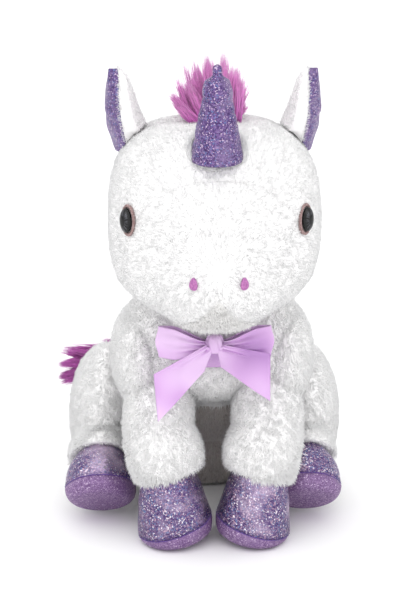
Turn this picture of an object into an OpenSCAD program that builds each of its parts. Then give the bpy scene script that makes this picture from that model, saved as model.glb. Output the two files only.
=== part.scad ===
// Seated plush unicorn, sewn from fur panels and stuffed, with glitter hooves and a satin bow.
// Millimetres, +Z up, the toy faces -Y, and its own left side is +X.
// The origin is the centre of the flat seat panel, on the floor.

/* [Head] */
// Half width of the head across the cheeks
head_half_w = 81; // [74:1:88]
// Half depth of the skull, front to back
head_half_d = 75; // [70:1:80]
// Height of the skull above its centre
head_up = 80; // [74:1:88]
// Height of the skull below its centre
head_down = 66; // [62:1:70]
// Boxiness of the skull, where 2 is an ellipsoid
head_boxiness = 2.9; // [2:0.1:3.2]
// Height of the head's centre over the floor
head_z = 261; // [258:1:268]
// Distance of the head's centre in front of the seat's centre
head_fore = 176; // [174:1:182]
// Half width of the muzzle
muzzle_half_w = 54; // [48:1:58]
// Half depth of the muzzle
muzzle_half_d = 64; // [60:1:68]
// Half height of the muzzle
muzzle_half_h = 44; // [40:1:46]

/* [Horn and ears] */
// Length of the horn above the forehead
horn_length = 64; // [50:1:70]
// Radius of the horn at its base
horn_base_r = 18; // [14:0.5:20]
// Radius of the horn's stubby tip
horn_tip_r = 4.5; // [3:0.5:6]
// Length of an ear from its base to its tip
ear_length = 62; // [50:1:72]
// Width of an ear at its widest
ear_width = 42; // [32:1:46]
// Height of the mane tuft behind the horn
tuft_height = 50; // [30:1:52]
// Diameter of a plastic eye
eye_diameter = 18; // [14:0.5:20]

/* [Body] */
// Half width of the hips under the haunches
hip_half_w = 76; // [70:1:80]
// Half depth of the hips
hip_half_d = 67; // [62:1:72]
// Half height of the hips before the seat cuts them flat
hip_half_h = 80; // [74:1:84]
// Half width of the chest at the shoulders
chest_half_w = 62; // [52:1:68]
// Radius of the ball of filling that joins the head to the body
neck_ball_r = 24; // [20:1:26]
// Diameter of the seat panel
seat_d = 84; // [70:1:88]
// Thickness of the pouch of beans that weights the seat
pouch_h = 10; // [6:1:12]
// Thickness of the fur fabric with its pile pressed flat
fabric = 3; // [2:0.25:4]

/* [Legs and hooves] */
// Radius of a front hoof
front_hoof_r = 29.5; // [26:0.5:31]
// Height of a front hoof
front_hoof_h = 58; // [54:1:64]
// Half of the gap between the front hooves
front_hoof_gap = 1.5; // [1.5:0.5:5]
// Half thickness of a front leg
front_leg_r = 29; // [26:0.5:31]
// Radius of a hind hoof
hind_hoof_r = 29; // [26:0.5:31]
// Height of a hind hoof along its own axis
hind_hoof_h = 46; // [40:1:50]
// Angle by which a hind hoof's sole is raised at the toe
hind_sole_tilt = 42; // [36:1:46]
// Radius of a haunch
haunch_r = 60; // [54:1:62]
// Distance of the haunches' outer sides from the middle of the toy
haunch_out = 112; // [108:1:120]
// Thickness of a hoof's sole panel with its padding
sole_thick = 14; // [10:0.5:18]

/* [Tail and bow] */
// Length of the tail hair
tail_length = 130; // [90:1:140]
// Half height of the tail hair at its fullest
tail_half_h = 19; // [12:0.5:20]
// Width of the satin ribbon
ribbon_width = 24; // [16:0.5:26]
// Distance from the knot to a bow loop's outer end
loop_reach = 47; // [36:1:50]
// Length of a bow tail below the knot
bow_tail_drop = 50; // [36:1:56]

/* [Hidden] */

left = 1;
right = -1;
far = 1000;
round_facets = 64;
down = [0, 0, -1];

// Soft shapes are written as rays from a point inside: each ray ends on the outermost of a few
// ellipsoids, blended so that their joins are smooth, and stops early at the parts it has to clear.
blend_power = 12;
blend_scale = 60;
clear_gap = 1;
relief_margin = 7;

// Head
head_c = [0, -head_fore, head_z];
muzzle_c = [0, -head_fore - 38, head_z - 29];
muzzle_ball = [muzzle_c, [muzzle_half_w, muzzle_half_d, muzzle_half_h], 0];
neck_p = [0, -134, head_z - head_down - 3];
neck_gap = 8;
mouth_drop = 20;
head_rows = 24;
head_cols = 32;

// Body
body_c = [0, -76, 100];
shoulder_p = [0, -133, 144];
shoulder_r = 42;
shoulder_in = 41;
haunch_p = [0, -45, haunch_r + 4];
haunch_in = 60;
hips = [[0, -14, 62], [hip_half_w, hip_half_d, hip_half_h], 0];
barrel = [[0, -72, 108], [66, 60, 58], 0];
chest = [shoulder_p, [chest_half_w, shoulder_r - 2, shoulder_r - 2], 0];
neck = [[0, -128, 160], [46, 40, 36], 0];
body_tilt = 36;
body_rows = 20;
body_cols = 32;

// Legs
leg_rows = 16;
leg_cols = 20;
front_hoof_x = front_hoof_r + front_hoof_gap;
front_hoof_p = [front_hoof_x, -177, 0];
leg_middle_out = 18;
leg_lower_out = 12;
front_leg_c = [front_hoof_x + leg_middle_out, -152, 108];
front_shoulder = [[58, shoulder_p.y, shoulder_p.z], [23, shoulder_r, shoulder_r], 0];
front_lower = [[front_hoof_x + leg_lower_out, -160, 98], [front_leg_r, front_leg_r + 1, 62], -26];
// Each hind hoof is tucked in behind the front one; the toy's left one further than its right one.
hind_tuck = [12.5, -1.5];
hind_foot_x = [for (tuck = hind_tuck) front_hoof_x + front_hoof_r + hind_hoof_r - tuck];
hind_foot_y = [-146, -145];
hind_leg_c = [86, -78, 54];

// Eyes
eye_at = [64, -50, 12];
eye_stem_r = 2.5;
eye_stem_length = 12;
eye_lift = 1;
washer_r = 8;
washer_thick = 2;
washer_depth = 8;

// Tail
tail_root = [0, 60, 84];
tail_core_r = 6;

function sum(v) = [for (i = v) 1] * v;
function unit(v) = v / norm(v);
function turn_x(v, a) = [v.x, v.y * cos(a) - v.z * sin(a), v.y * sin(a) + v.z * cos(a)];
function over(v, r) = [v.x / r.x, v.y / r.y, v.z / r.z];

// How far a ray from p along d runs before it leaves ellipsoid e = [centre, radii, tilt about X].
function reach(p, d, e) =
    let (
        q = over(turn_x(p - e[0], -e[2]), e[1]),
        g = over(turn_x(d, -e[2]), e[1]),
        b = g * q,
        s = b * b - (g * g) * (q * q - 1)
    )
    s <= 0 ? 0 : max(0, (sqrt(s) - b) / (g * g));

// The same for a boxy ellipsoid about p itself, with its own height above and below.
function reach_boxy(d, rx, ry, up, low, n) =
    pow(pow(abs(d.x) / rx, n) + pow(abs(d.y) / ry, n) + pow(abs(d.z) / (d.z > 0 ? up : low), n), -1 / n);

// The outermost of several reaches, with their joins blended.
function blended(reaches) =
    blend_scale * pow(sum([for (r = reaches) pow(r / blend_scale, blend_power)]), 1 / blend_power);

// How far a ray runs before it crosses the plane through k with outward normal n.
function to_plane(p, d, n, k) = d * n <= 0 ? far : (k - p) * n / (d * n);

// How far a ray from outside runs before it enters a ball.
function to_ball(p, d, c, r) =
    let (q = p - c, b = q * d, s = b * b - (q * q - r * r))
    s <= 0 || b >= 0 ? far : -b - sqrt(s);

// How far a ray runs before it enters the round disc about the X line through c, with radius r,
// that begins at x = edge and runs on towards the given side.
function to_disc(p, d, side, edge, c, r) =
    let (
        gx = side * d.x,
        tx = gx <= 0 ? far : (edge - side * p.x) / gx,
        q = [p.y - c.y, p.z - c.z],
        g = [d.y, d.z],
        b = q * g,
        s = b * b - (g * g) * (q * q - r * r),
        within = q * q < r * r,
        near = s > 0 ? (-b - sqrt(s)) / (g * g) : within ? -far : far,
        away = s > 0 ? (-b + sqrt(s)) / (g * g) : within ? far : -far,
        t = max(tx, near)
    )
    t < away ? t : far;

// A direction at angle a from the pole, turned by b about it; u and v complete the frame.
function aim(pole, u, v, a, b) = pole * cos(a) + (u * cos(b) + v * sin(b)) * sin(a);

// Surfaces of the head, the body, a front leg and a hind leg, as distances along unit direction d.
function head_r(d) =
    min(
        blended([
            reach_boxy(d, head_half_w, head_half_d, head_up, head_down, head_boxiness),
            reach(head_c, d, muzzle_ball)
        ]),
        to_ball(head_c, d, neck_p, neck_ball_r + neck_gap)
    );

function body_r(d) =
    let (side = d.x < 0 ? right : left)
    min(
        blended([for (e = [hips, barrel, chest, neck]) reach(body_c, d, e)]),
        to_plane(body_c, d, down, [0, 0, fabric]),
        to_disc(body_c, d, side, shoulder_in - clear_gap, shoulder_p, shoulder_r + relief_margin),
        to_disc(body_c, d, side, haunch_in - 2 * clear_gap, haunch_p, haunch_r + 2 * relief_margin),
        to_ball(body_c, d, neck_p, neck_ball_r + neck_gap)
    );

function front_leg_r(d) =
    min(
        blended([for (e = [front_shoulder, front_lower]) reach(front_leg_c, d, e)]),
        to_plane(front_leg_c, d, down, [0, 0, front_hoof_h]),
        to_disc(front_leg_c, d, right, -shoulder_in - clear_gap, shoulder_p, shoulder_r + 4)
    );

function hind_hoof_p(i) = [hind_foot_x[i], hind_foot_y[i], hind_hoof_r * sin(hind_sole_tilt)];
hind_axis = [0, sin(hind_sole_tilt), cos(hind_sole_tilt)];
haunch = [[haunch_out - 31, haunch_p.y, haunch_p.z], [31, haunch_r, haunch_r], 0];
function hind_foot(i) = [[hind_foot_x[i], hind_foot_y[i] + 42, 40], [28, 48, 34], 0];
function hind_leg_r(d, i) =
    min(
        blended([for (e = [haunch, hind_foot(i)]) reach(hind_leg_c, d, e)]),
        to_plane(hind_leg_c, d, -hind_axis, hind_hoof_p(i) + hind_hoof_h * hind_axis),
        to_plane(hind_leg_c, d, down, [0, 0, 1]),
        to_plane(hind_leg_c, d, [-1, 0, 0], [haunch_in, 0, 0])
    );

// The point of the head's skin, raised by h, in line with p.
function on_head(p, h) = let (d = unit(p - head_c)) head_c + d * (head_r(d) + h);

// A closed solid between two grids of points: it is a panel with its edges, or a bag when the
// grids run right round. A row that has shrunk to a pole keeps its first point only.
module panel(outer, inner, round = false) {
    rows = len(outer);
    cols = len(outer[0]);
    size = rows * cols;
    points = concat([for (row = outer) each row], [for (row = inner) each row]);
    function pole(i) = outer[i][0] == outer[i][1];
    function at(k, i, j) = k * size + i * cols + (pole(i) ? 0 : j % cols);
    function quad(a, b, c, d) = [[a, b, c], [a, c, d]];
    last = round ? cols : cols - 1;
    skin = [for (i = [0 : rows - 2], j = [0 : last - 1])
        each quad(at(0, i, j), at(0, i + 1, j), at(0, i + 1, j + 1), at(0, i, j + 1))];
    lining = [for (i = [0 : rows - 2], j = [0 : last - 1])
        each [for (t = quad(at(1, i, j), at(1, i + 1, j), at(1, i + 1, j + 1), at(1, i, j + 1)))
            [t[2], t[1], t[0]]]];
    ends = [for (j = [0 : last - 1]) each concat(
        pole(0) ? [] : quad(at(0, 0, j), at(0, 0, j + 1), at(1, 0, j + 1), at(1, 0, j)),
        pole(rows - 1) ? [] : quad(at(1, rows - 1, j), at(1, rows - 1, j + 1),
            at(0, rows - 1, j + 1), at(0, rows - 1, j)))];
    sides = round ? [] : [for (i = [0 : rows - 2]) each concat(
        quad(at(1, i, 0), at(1, i + 1, 0), at(0, i + 1, 0), at(0, i, 0)),
        quad(at(0, i, cols - 1), at(0, i + 1, cols - 1), at(1, i + 1, cols - 1), at(1, i, cols - 1)))];
    faces = [for (t = concat(skin, lining, ends, sides))
        if (t[0] != t[1] && t[1] != t[2] && t[2] != t[0]) [t[2], t[1], t[0]]];
    polyhedron(points, faces);
}

// A closed solid inside one grid that runs right round from pole to pole.
module bag(grid) {
    rows = len(grid);
    cols = len(grid[0]);
    points = [for (row = grid) each row];
    function at(i, j) = i * cols + (i == 0 || i == rows - 1 ? 0 : j % cols);
    faces = [for (i = [0 : rows - 2], j = [0 : cols - 1], t = [
            [at(i, j), at(i + 1, j + 1), at(i + 1, j)],
            [at(i, j), at(i, j + 1), at(i + 1, j + 1)]])
        if (t[0] != t[1] && t[1] != t[2] && t[2] != t[0]) t];
    polyhedron(points, faces);
}

// Grids of the soft surfaces, sunk by s below the skin; rows run from the pole, columns round it.
head_u = [1, 0, 0];
head_v = turn_x([0, 0, 1], mouth_drop);
head_pole = turn_x([0, -1, 0], mouth_drop);
function head_point(i, j, s) =
    let (d = aim(head_pole, head_u, head_v, 180 * i / head_rows, 360 * j / head_cols))
    head_c + d * (head_r(d) - s);
function head_grid(i0, i1, j0, j1, s) =
    [for (i = [i0 : i1]) [for (j = [j0 : j1]) head_point(i, j, s)]];

body_pole = turn_x([0, 0, -1], body_tilt);
body_v = turn_x([0, 1, 0], body_tilt);
function body_aim(i, j) =
    aim(body_pole, [1, 0, 0], body_v, 180 * i / body_rows, 360 * j / body_cols);
function body_point(i, j, s) = let (d = body_aim(i, j)) body_c + d * (body_r(d) - s);
function body_grid(i0, i1, j0, j1, s) =
    [for (i = [i0 : i1]) [for (j = [j0 : j1]) body_point(i, j, s)]];

function front_leg_grid(i0, i1, s) =
    [for (i = [i0 : i1]) [for (j = [0 : leg_cols - 1])
        let (d = aim([0, 0, -1], [1, 0, 0], [0, 1, 0], 180 * i / leg_rows, 360 * j / leg_cols))
        front_leg_c + d * (front_leg_r(d) - s)]];

function hind_leg_grid(i0, i1, n, s) =
    [for (i = [i0 : i1]) [for (j = [0 : leg_cols - 1])
        let (d = aim([0, -1, 0], [1, 0, 0], [0, 0, -1], 180 * i / leg_rows, 360 * j / leg_cols))
        hind_leg_c + d * (hind_leg_r(d, n) - s)]];

module on_side(side) {
    if (side == right) mirror([1, 0, 0]) children();
    else children();
}

// ---- Head ----
// Columns are counted from the toy's left over the crown: a quarter turn is the crown.
crown = head_cols / 4;
gusset_half = 3;
muzzle_edge = 7;
chin_start = head_cols / 2 + 5;
chin_end = head_cols - 5;

module head_panel(i0, i1, j0, j1, round = false) {
    panel(head_grid(i0, i1, j0, j1, 0), head_grid(i0, i1, j0, j1, fabric), round);
}

module head_stuffing() {
    color("ivory") difference() {
        bag(head_grid(0, head_rows, 0, head_cols - 1, fabric));
        for (side = [left, right]) at_eye(side) {
            translate([0, 0, -eye_stem_length])
                cylinder(h = eye_stem_length, r = eye_stem_r, $fn = round_facets);
            translate([0, 0, -washer_depth]) cylinder(h = washer_thick, r = washer_r, $fn = round_facets);
        }
    }
}

module head_side(side) {
    color("white")
        difference() {
            if (side == left) head_panel(muzzle_edge, head_rows, -crown, crown - gusset_half);
            else head_panel(muzzle_edge, head_rows, crown + gusset_half, 3 * crown);
            at_eye(side) translate([0, 0, -eye_stem_length])
                cylinder(h = eye_stem_length + eye_lift, r = eye_stem_r, $fn = round_facets);
        }
}

module head_gusset() {
    color("whitesmoke") head_panel(muzzle_edge, head_rows, crown - gusset_half, crown + gusset_half);
}

module muzzle_cover() {
    color("snow") head_panel(0, muzzle_edge, chin_end - head_cols, chin_start);
}

module chin_panel() {
    color("gainsboro") head_panel(0, muzzle_edge, chin_start, chin_end);
}

// ---- Horn ----
horn_cols = 20;
horn_c = on_head([0, -head_fore - 54, head_z + 58], 0);
horn_lean = 6;
horn_axis = turn_x([0, 0, 1], horn_lean);
horn_lift = 0.3;
lame = 1;
horn_shoulder_r = 10.8;
horn_shoulder_at = 0.62;
horn_stub_at = 0.87;
horn_roll = 0.6;
// The horn's radius at share t of its length: a cone with soft rolls, a shoulder and a stub on top.
function horn_r(t) =
    t > horn_stub_at ? horn_tip_r
    : horn_base_r + (horn_shoulder_r - horn_base_r) * pow(min(1, t / horn_shoulder_at), 1.4)
        + horn_roll * sin(1080 * t);
function horn_point(t, j, s) =
    horn_c + horn_axis * (horn_length * t)
    + turn_x([cos(360 * j / horn_cols), sin(360 * j / horn_cols), 0] * (horn_r(t) - s), horn_lean);
function horn_foot(share, j, s) =
    on_head(horn_c + turn_x([cos(360 * j / horn_cols), sin(360 * j / horn_cols), 0]
        * (horn_base_r - s) * share, horn_lean), horn_lift);
horn_steps = [for (k = [2 : 11]) k / 12];
function horn_grid(s) =
    concat(
        [[for (j = [0 : horn_cols - 1]) horn_foot(1, j, s)]],
        [for (t = horn_steps) [for (j = [0 : horn_cols - 1]) horn_point(t, j, s)]],
        [[for (j = [0 : horn_cols - 1]) horn_c + horn_axis * (horn_length - s)]]);

module horn_cover() {
    color("mediumpurple") panel(horn_grid(0), horn_grid(lame), true);
}

module horn_stuffing() {
    color("ivory") bag(concat(
        [for (share = [0, 0.35, 0.7]) [for (j = [0 : horn_cols - 1]) horn_foot(share, j, lame)]],
        horn_grid(lame)));
}

// ---- Mane ----
mane_gap = 0.3;
mane_half = 3;
mane_spread = 11;
mane_rows = head_rows / 2;
tuft_rows = 4;
function mane_point(i, j, h) =
    let (
        a = 180 * i / head_rows,
        b = 90 + mane_spread * j / mane_half,
        d = aim(head_pole, head_u, head_v, a, b)
    )
    head_c + d * (head_r(d) + h);
function mane_high(i, j, low, high, first, last) =
    low + (high - low) * max(0, sin(180 * (i - first + 0.4) / (last - first + 0.8)))
        * (0.55 + 0.45 * cos(60 * j / mane_half));
module mane(first, last, low, high) {
    panel(
        [for (i = [first : last]) [for (j = [-mane_half : mane_half])
            mane_point(i, j, mane_high(i, j, low, high, first, last))]],
        [for (i = [first : last]) [for (j = [-mane_half : mane_half]) mane_point(i, j, mane_gap)]]);
}

module mane_tuft() {
    color("orchid") mane(mane_rows + 1, mane_rows + 1 + tuft_rows, 12, tuft_height);
}

module mane_strip() {
    color("orchid") mane(mane_rows + 1 + tuft_rows, head_rows - 3, 12, 18);
}

// ---- Ears ----
// An ear is a thick leaf: a nearly flat lining on its outer side and a rounded fur back.
ear_hinge = [head_half_w - 7, -head_fore + 14, head_z + 0.65 * head_up];
ear_lean = 4;
ear_turn = -20;
ear_rows = 8;
ear_cols = 6;
ear_lining_thick = 1.2;
ear_clear = 1.5;
function ear_half(t) = ear_width / 2 * pow(sin(180 * (0.22 + 0.76 * t)), 0.8);
function ear_thick(t) = (12 + 14 * pow(1 - t, 1.3)) * sqrt(1 - 0.9 * pow(t, 8));
function ear_point(t, w, depth) =
    let (
        y = ear_half(t) * w,
        bow = 5 * sin(180 * t) - 5 * w * w,
        p = [bow - depth, y, ear_length * t],
        q = [p.x * cos(ear_turn) - p.y * sin(ear_turn), p.x * sin(ear_turn) + p.y * cos(ear_turn), p.z],
        at = ear_hinge + [q.x * cos(ear_lean) + q.z * sin(ear_lean), q.y, q.z * cos(ear_lean)],
        d = unit(at - head_c)
    )
    head_c + d * max(norm(at - head_c), head_r(d) + ear_clear + 0.05 * depth + 0.5 * t);
function ear_grid(depth, taper) =
    [for (k = [0 : ear_rows]) let (t = k / ear_rows)
        [for (m = [0 : ear_cols]) let (w = 2 * m / ear_cols - 1)
            ear_point(t, w, depth + taper * ear_thick(t) * (1 - 0.85 * w * w))]];

module ear_back(side) {
    color("white") on_side(side) panel(ear_grid(ear_lining_thick, 0), ear_grid(ear_lining_thick, 1));
}

module ear_lining(side) {
    color("mediumpurple") on_side(side) panel(ear_grid(0, 0), ear_grid(ear_lining_thick, 0));
}

// ---- Eyes ----
eye_d = unit(eye_at);
eye_p = head_c + eye_d * head_r(eye_d);
// Across and up the skin at the eye, and the skin's outward normal there.
eye_across = on_head(eye_p + [0, -5, 0], 0) - on_head(eye_p + [0, 5, 0], 0);
eye_upward = on_head(eye_p + [0, 0, 5], 0) - on_head(eye_p - [0, 0, 5], 0);
eye_n = unit(cross(eye_upward, eye_across));
eye_yaw = atan2(eye_n.y, eye_n.x);
eye_pitch = acos(eye_n.z);
module at_eye(side) {
    on_side(side) translate(eye_p) rotate([0, eye_pitch, eye_yaw]) children();
}

module eye(side) {
    color("black") at_eye(side) rotate_extrude($fn = round_facets) polygon(concat(
        [[0, -eye_stem_length], [eye_stem_r, -eye_stem_length], [eye_stem_r, eye_lift],
            [eye_diameter / 2, eye_lift]],
        [for (a = [15 : 15 : 90]) [eye_diameter / 2 * cos(a), eye_lift + eye_diameter / 4 * sin(a)]]));
}

module eye_washer(side) {
    color("gray") at_eye(side) translate([0, 0, -washer_depth])
        difference() {
            cylinder(h = washer_thick, r = washer_r, $fn = round_facets);
            translate([0, 0, -1]) cylinder(h = washer_thick + 2, r = eye_stem_r, $fn = round_facets);
        }
}

// ---- Small trim on the head: a stitched outline laid on the skin ----
trim_cols = 16;
trim_thick = 0.7;
trim_lift = 0.3;
function trim_grid(c, du, dv, ru, rv, shares, h) =
    [for (s = shares) [for (j = [0 : trim_cols - 1])
        on_head(c + du * (ru * s * cos(360 * j / trim_cols)) + dv * (rv * s * sin(360 * j / trim_cols)), h)]];

rim_u = unit(eye_across);
rim_v = unit(eye_upward);
rim_half_w = eye_diameter / 2 + 1.4;
rim_half_h = eye_diameter / 2 + 4.4;
rim_thick = 0.3;
rim_hole = 0.55;
function rim_grid(h) = trim_grid(eye_p, rim_u, rim_v, rim_half_w, rim_half_h, [1, rim_hole], h);
module eye_rim(side) {
    color("rosybrown") on_side(side) panel(rim_grid(trim_lift), rim_grid(trim_lift - rim_thick), true);
}

nostril_at = [17.5, -94, -24];
nostril_half_w = 3.5;
nostril_half_h = 4.5;
function nostril_grid(h) =
    trim_grid(head_c + nostril_at, [1, 0, 0], [0, 0, 1], nostril_half_w, nostril_half_h, [0, 0.5, 1], h);
module nostril(side) {
    color("mediumvioletred") on_side(side)
        panel(nostril_grid(trim_lift + trim_thick), nostril_grid(trim_lift), true);
}

// ---- Neck ----
module neck_wad() {
    color("ivory") translate(neck_p) sphere(r = neck_ball_r, $fn = round_facets);
}

// ---- Body ----
// Columns are counted from the toy's left round the back; three quarters of a turn is the chest.
chest_half = 4;
back_half = 3;
seat_row = 2;
pouch_r = 34;

module body_panel(i0, i1, j0, j1) {
    panel(body_grid(i0, i1, j0, j1, 0), body_grid(i0, i1, j0, j1, fabric));
}

module torso_stuffing() {
    color("ivory") bag([for (i = [0 : body_rows]) [for (j = [0 : body_cols - 1])
        let (d = body_aim(i, j))
        body_c + d * min(body_r(d) - fabric, to_plane(body_c, d, down, [0, 0, fabric + pouch_h]))]]);
}

module chest_panel() {
    color("white") body_panel(seat_row, body_rows, 3 * body_cols / 4 - chest_half,
        3 * body_cols / 4 + chest_half);
}

module torso_side(side) {
    color("whitesmoke")
        if (side == left) body_panel(seat_row, body_rows, -body_cols / 4 + chest_half,
            body_cols / 4 - back_half);
        else body_panel(seat_row, body_rows, body_cols / 4 + back_half,
            3 * body_cols / 4 - chest_half);
}

module back_panel() {
    color("snow") body_panel(seat_row, body_rows, body_cols / 4 - back_half, body_cols / 4 + back_half);
}

module seat_panel() {
    color("white") linear_extrude(fabric) circle(d = seat_d, $fn = round_facets);
}

module bean_pouch() {
    color("tan") translate([0, 0, fabric]) cylinder(h = pouch_h, r = pouch_r, $fn = round_facets);
}

// ---- Ribbon and bow ----
satin = 1.2;
bow_p = [0, -192, 168];
knot_r = 7;
knot_h = 15;
band_row = body_rows - 3;

module neck_ribbon() {
    color("plum") panel(
        body_grid(band_row, band_row + 1, 3 * body_cols / 4 - 3, 3 * body_cols / 4 + 3, -0.3 - satin),
        body_grid(band_row, band_row + 1, 3 * body_cols / 4 - 3, 3 * body_cols / 4 + 3, -0.3));
}

module bow_knot() {
    color("plum") translate(bow_p) rotate_extrude($fn = round_facets) polygon([
        [0, -knot_h / 2], [knot_r - 2, -knot_h / 2], [knot_r, -knot_h / 4], [knot_r, knot_h / 4],
        [knot_r - 2, knot_h / 2], [0, knot_h / 2]]);
}

// A loop is a flattened pocket of ribbon that widens from the knot to its outer end.
module bow_loop(side) {
    steps = 6;
    function half(t) = (5 + (ribbon_width / 2 - 5) * sin(90 * t));
    function loop_row(t, y) =
        [for (w = [-1, 0, 1])
            bow_p + [knot_r + 0.3 + (loop_reach - knot_r) * t, y - 4 * t, half(t) * w]];
    color("plum") on_side(side) panel(
        [for (k = [0 : steps]) loop_row(k / steps, 1.5 + 3.5 * sin(150 * k / steps))],
        [for (k = [0 : steps]) loop_row(k / steps, -1.5 - 3.5 * sin(150 * k / steps))]);
}

// A tail is a strip that falls from the knot over the chest and is cut on the slant.
module bow_tail(side) {
    steps = 6;
    function edge(t, w) =
        let (cut = side == left ? 8 : 14)
        bow_p + [5 + 26 * t + (4 + (ribbon_width / 2 - 4) * sin(90 * min(1, 2 * t))) * w,
            -9 - 12 * t, -5 - (bow_tail_drop - cut) * t + (w > 0 ? -cut * t * t : cut * t * t)];
    color("plum") on_side(side) panel(
        [for (k = [0 : steps]) [for (w = [-1, 0, 1]) edge(k / steps, w) + [0, satin, 0]]],
        [for (k = [0 : steps]) [for (w = [-1, 0, 1]) edge(k / steps, w)]]);
}

// ---- Hooves: a cup of glitter cloth over a padded sole, round about its own axis ----
module hoof_sole(r) {
    color("thistle") rotate_extrude($fn = round_facets) polygon([
        [0, 0], [r - 9, 0], [r - 3, 4], [r - 0.5, sole_thick * 0.65], [r, sole_thick], [0, sole_thick]]);
}

function hoof_outline(r, h) = [
    [r, sole_thick], [r, 0.45 * h], [0.94 * r, 0.7 * h], [0.82 * r, h - 3], [0.78 * r, h]];

module hoof_upper(r, h) {
    color("mediumpurple") rotate_extrude($fn = round_facets) polygon(concat(
        hoof_outline(r, h), [for (k = [4 : -1 : 0]) hoof_outline(r, h)[k] - [lame, 0]]));
}

module hoof_stuffing(r, h) {
    color("ivory") rotate_extrude($fn = round_facets) polygon(concat(
        [[0, sole_thick]], [for (p = hoof_outline(r, h)) p - [lame, 0]], [[0, h]]));
}

// ---- Front legs ----
cuff_row = 4;
module at_front_hoof(side) {
    on_side(side) translate(front_hoof_p) children();
}

module front_hoof_upper(side) {
    at_front_hoof(side) hoof_upper(front_hoof_r, front_hoof_h);
}

module front_hoof_sole(side) {
    at_front_hoof(side) hoof_sole(front_hoof_r);
}

module front_hoof_stuffing(side) {
    at_front_hoof(side) hoof_stuffing(front_hoof_r, front_hoof_h);
}

module front_leg_cover(side) {
    color("white") on_side(side) panel(front_leg_grid(cuff_row, leg_rows, 0),
        front_leg_grid(cuff_row, leg_rows, fabric), true);
}

module front_leg_stuffing(side) {
    color("ivory") on_side(side) bag(front_leg_grid(0, leg_rows, fabric));
}

// ---- Hind legs ----
function index(side) = side == left ? 0 : 1;
module at_hind_hoof(side) {
    on_side(side) translate(hind_hoof_p(index(side))) rotate([-hind_sole_tilt, 0, 0]) children();
}

module hind_hoof_upper(side) {
    at_hind_hoof(side) hoof_upper(hind_hoof_r, hind_hoof_h);
}

module hind_hoof_sole(side) {
    at_hind_hoof(side) hoof_sole(hind_hoof_r);
}

module hind_hoof_stuffing(side) {
    at_hind_hoof(side) hoof_stuffing(hind_hoof_r, hind_hoof_h);
}

module hind_leg_cover(side) {
    color("white") on_side(side) panel(hind_leg_grid(cuff_row, leg_rows, index(side), 0),
        hind_leg_grid(cuff_row, leg_rows, index(side), fabric), true);
}

module hind_leg_stuffing(side) {
    color("ivory") on_side(side) bag(hind_leg_grid(0, leg_rows, index(side), fabric));
}

// ---- Tail ----
tail_rows = 9;
tail_cols = 10;
function tail_point(t, j) =
    let (
        x = -tail_core_r - 1 - (tail_length - tail_core_r) * t,
        full = sin(180 * min(1, 0.12 + 0.86 * t))
    )
    tail_root + [
        x,
        4 * sin(180 * t) - 24 * t * t + 9 * full * cos(360 * j / tail_cols),
        4 * t + (2 + (tail_half_h - 2) * full) * sin(360 * j / tail_cols)
    ];
module tail_hair() {
    color("mediumorchid") bag([for (k = [0 : tail_rows]) let (t = k / tail_rows)
        [for (j = [0 : tail_cols - 1])
            k == 0 || k == tail_rows ? (tail_point(t, 0) + tail_point(t, tail_cols / 2)) / 2
            : tail_point(t, j)]]);
}

module tail_core() {
    color("orchid") translate(tail_root - [0, 0, 8]) cylinder(h = 16, r = tail_core_r, $fn = round_facets);
}

head_stuffing();
head_side(left);  // head_side_left
head_side(right);  // head_side_right
head_gusset();
muzzle_cover();
chin_panel();
horn_cover();
horn_stuffing();
mane_tuft();
mane_strip();
eye(left);  // eye_left
eye(right);  // eye_right
eye_washer(left);  // eye_washer_left
eye_washer(right);  // eye_washer_right
eye_rim(left);  // eye_rim_left
eye_rim(right);  // eye_rim_right
nostril(left);  // nostril_left
nostril(right);  // nostril_right
ear_back(left);  // ear_back_left
ear_back(right);  // ear_back_right
ear_lining(left);  // ear_lining_left
ear_lining(right);  // ear_lining_right
neck_wad();
torso_stuffing();
chest_panel();
torso_side(left);  // torso_side_left
torso_side(right);  // torso_side_right
back_panel();
seat_panel();
bean_pouch();
neck_ribbon();
bow_knot();
bow_loop(left);  // bow_loop_left
bow_loop(right);  // bow_loop_right
bow_tail(left);  // bow_tail_left
bow_tail(right);  // bow_tail_right
front_leg_cover(left);  // front_leg_cover_left
front_leg_cover(right);  // front_leg_cover_right
front_leg_stuffing(left);  // front_leg_stuffing_left
front_leg_stuffing(right);  // front_leg_stuffing_right
front_hoof_upper(left);  // front_hoof_upper_left
front_hoof_upper(right);  // front_hoof_upper_right
front_hoof_sole(left);  // front_hoof_sole_left
front_hoof_sole(right);  // front_hoof_sole_right
front_hoof_stuffing(left);  // front_hoof_stuffing_left
front_hoof_stuffing(right);  // front_hoof_stuffing_right
hind_leg_cover(left);  // hind_leg_cover_left
hind_leg_cover(right);  // hind_leg_cover_right
hind_leg_stuffing(left);  // hind_leg_stuffing_left
hind_leg_stuffing(right);  // hind_leg_stuffing_right
hind_hoof_upper(left);  // hind_hoof_upper_left
hind_hoof_upper(right);  // hind_hoof_upper_right
hind_hoof_sole(left);  // hind_hoof_sole_left
hind_hoof_sole(right);  // hind_hoof_sole_right
hind_hoof_stuffing(left);  // hind_hoof_stuffing_left
hind_hoof_stuffing(right);  // hind_hoof_stuffing_right
tail_hair();
tail_core();
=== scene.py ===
"""A seated plush unicorn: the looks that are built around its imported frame.

Shapes are worked out in millimetres and become metres as each mesh is made. +Z is up, the toy
faces -Y, and its own left side is +X.
"""
import logging
import math
from collections.abc import Callable, Sequence
from dataclasses import dataclass, field
from enum import Enum

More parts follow.
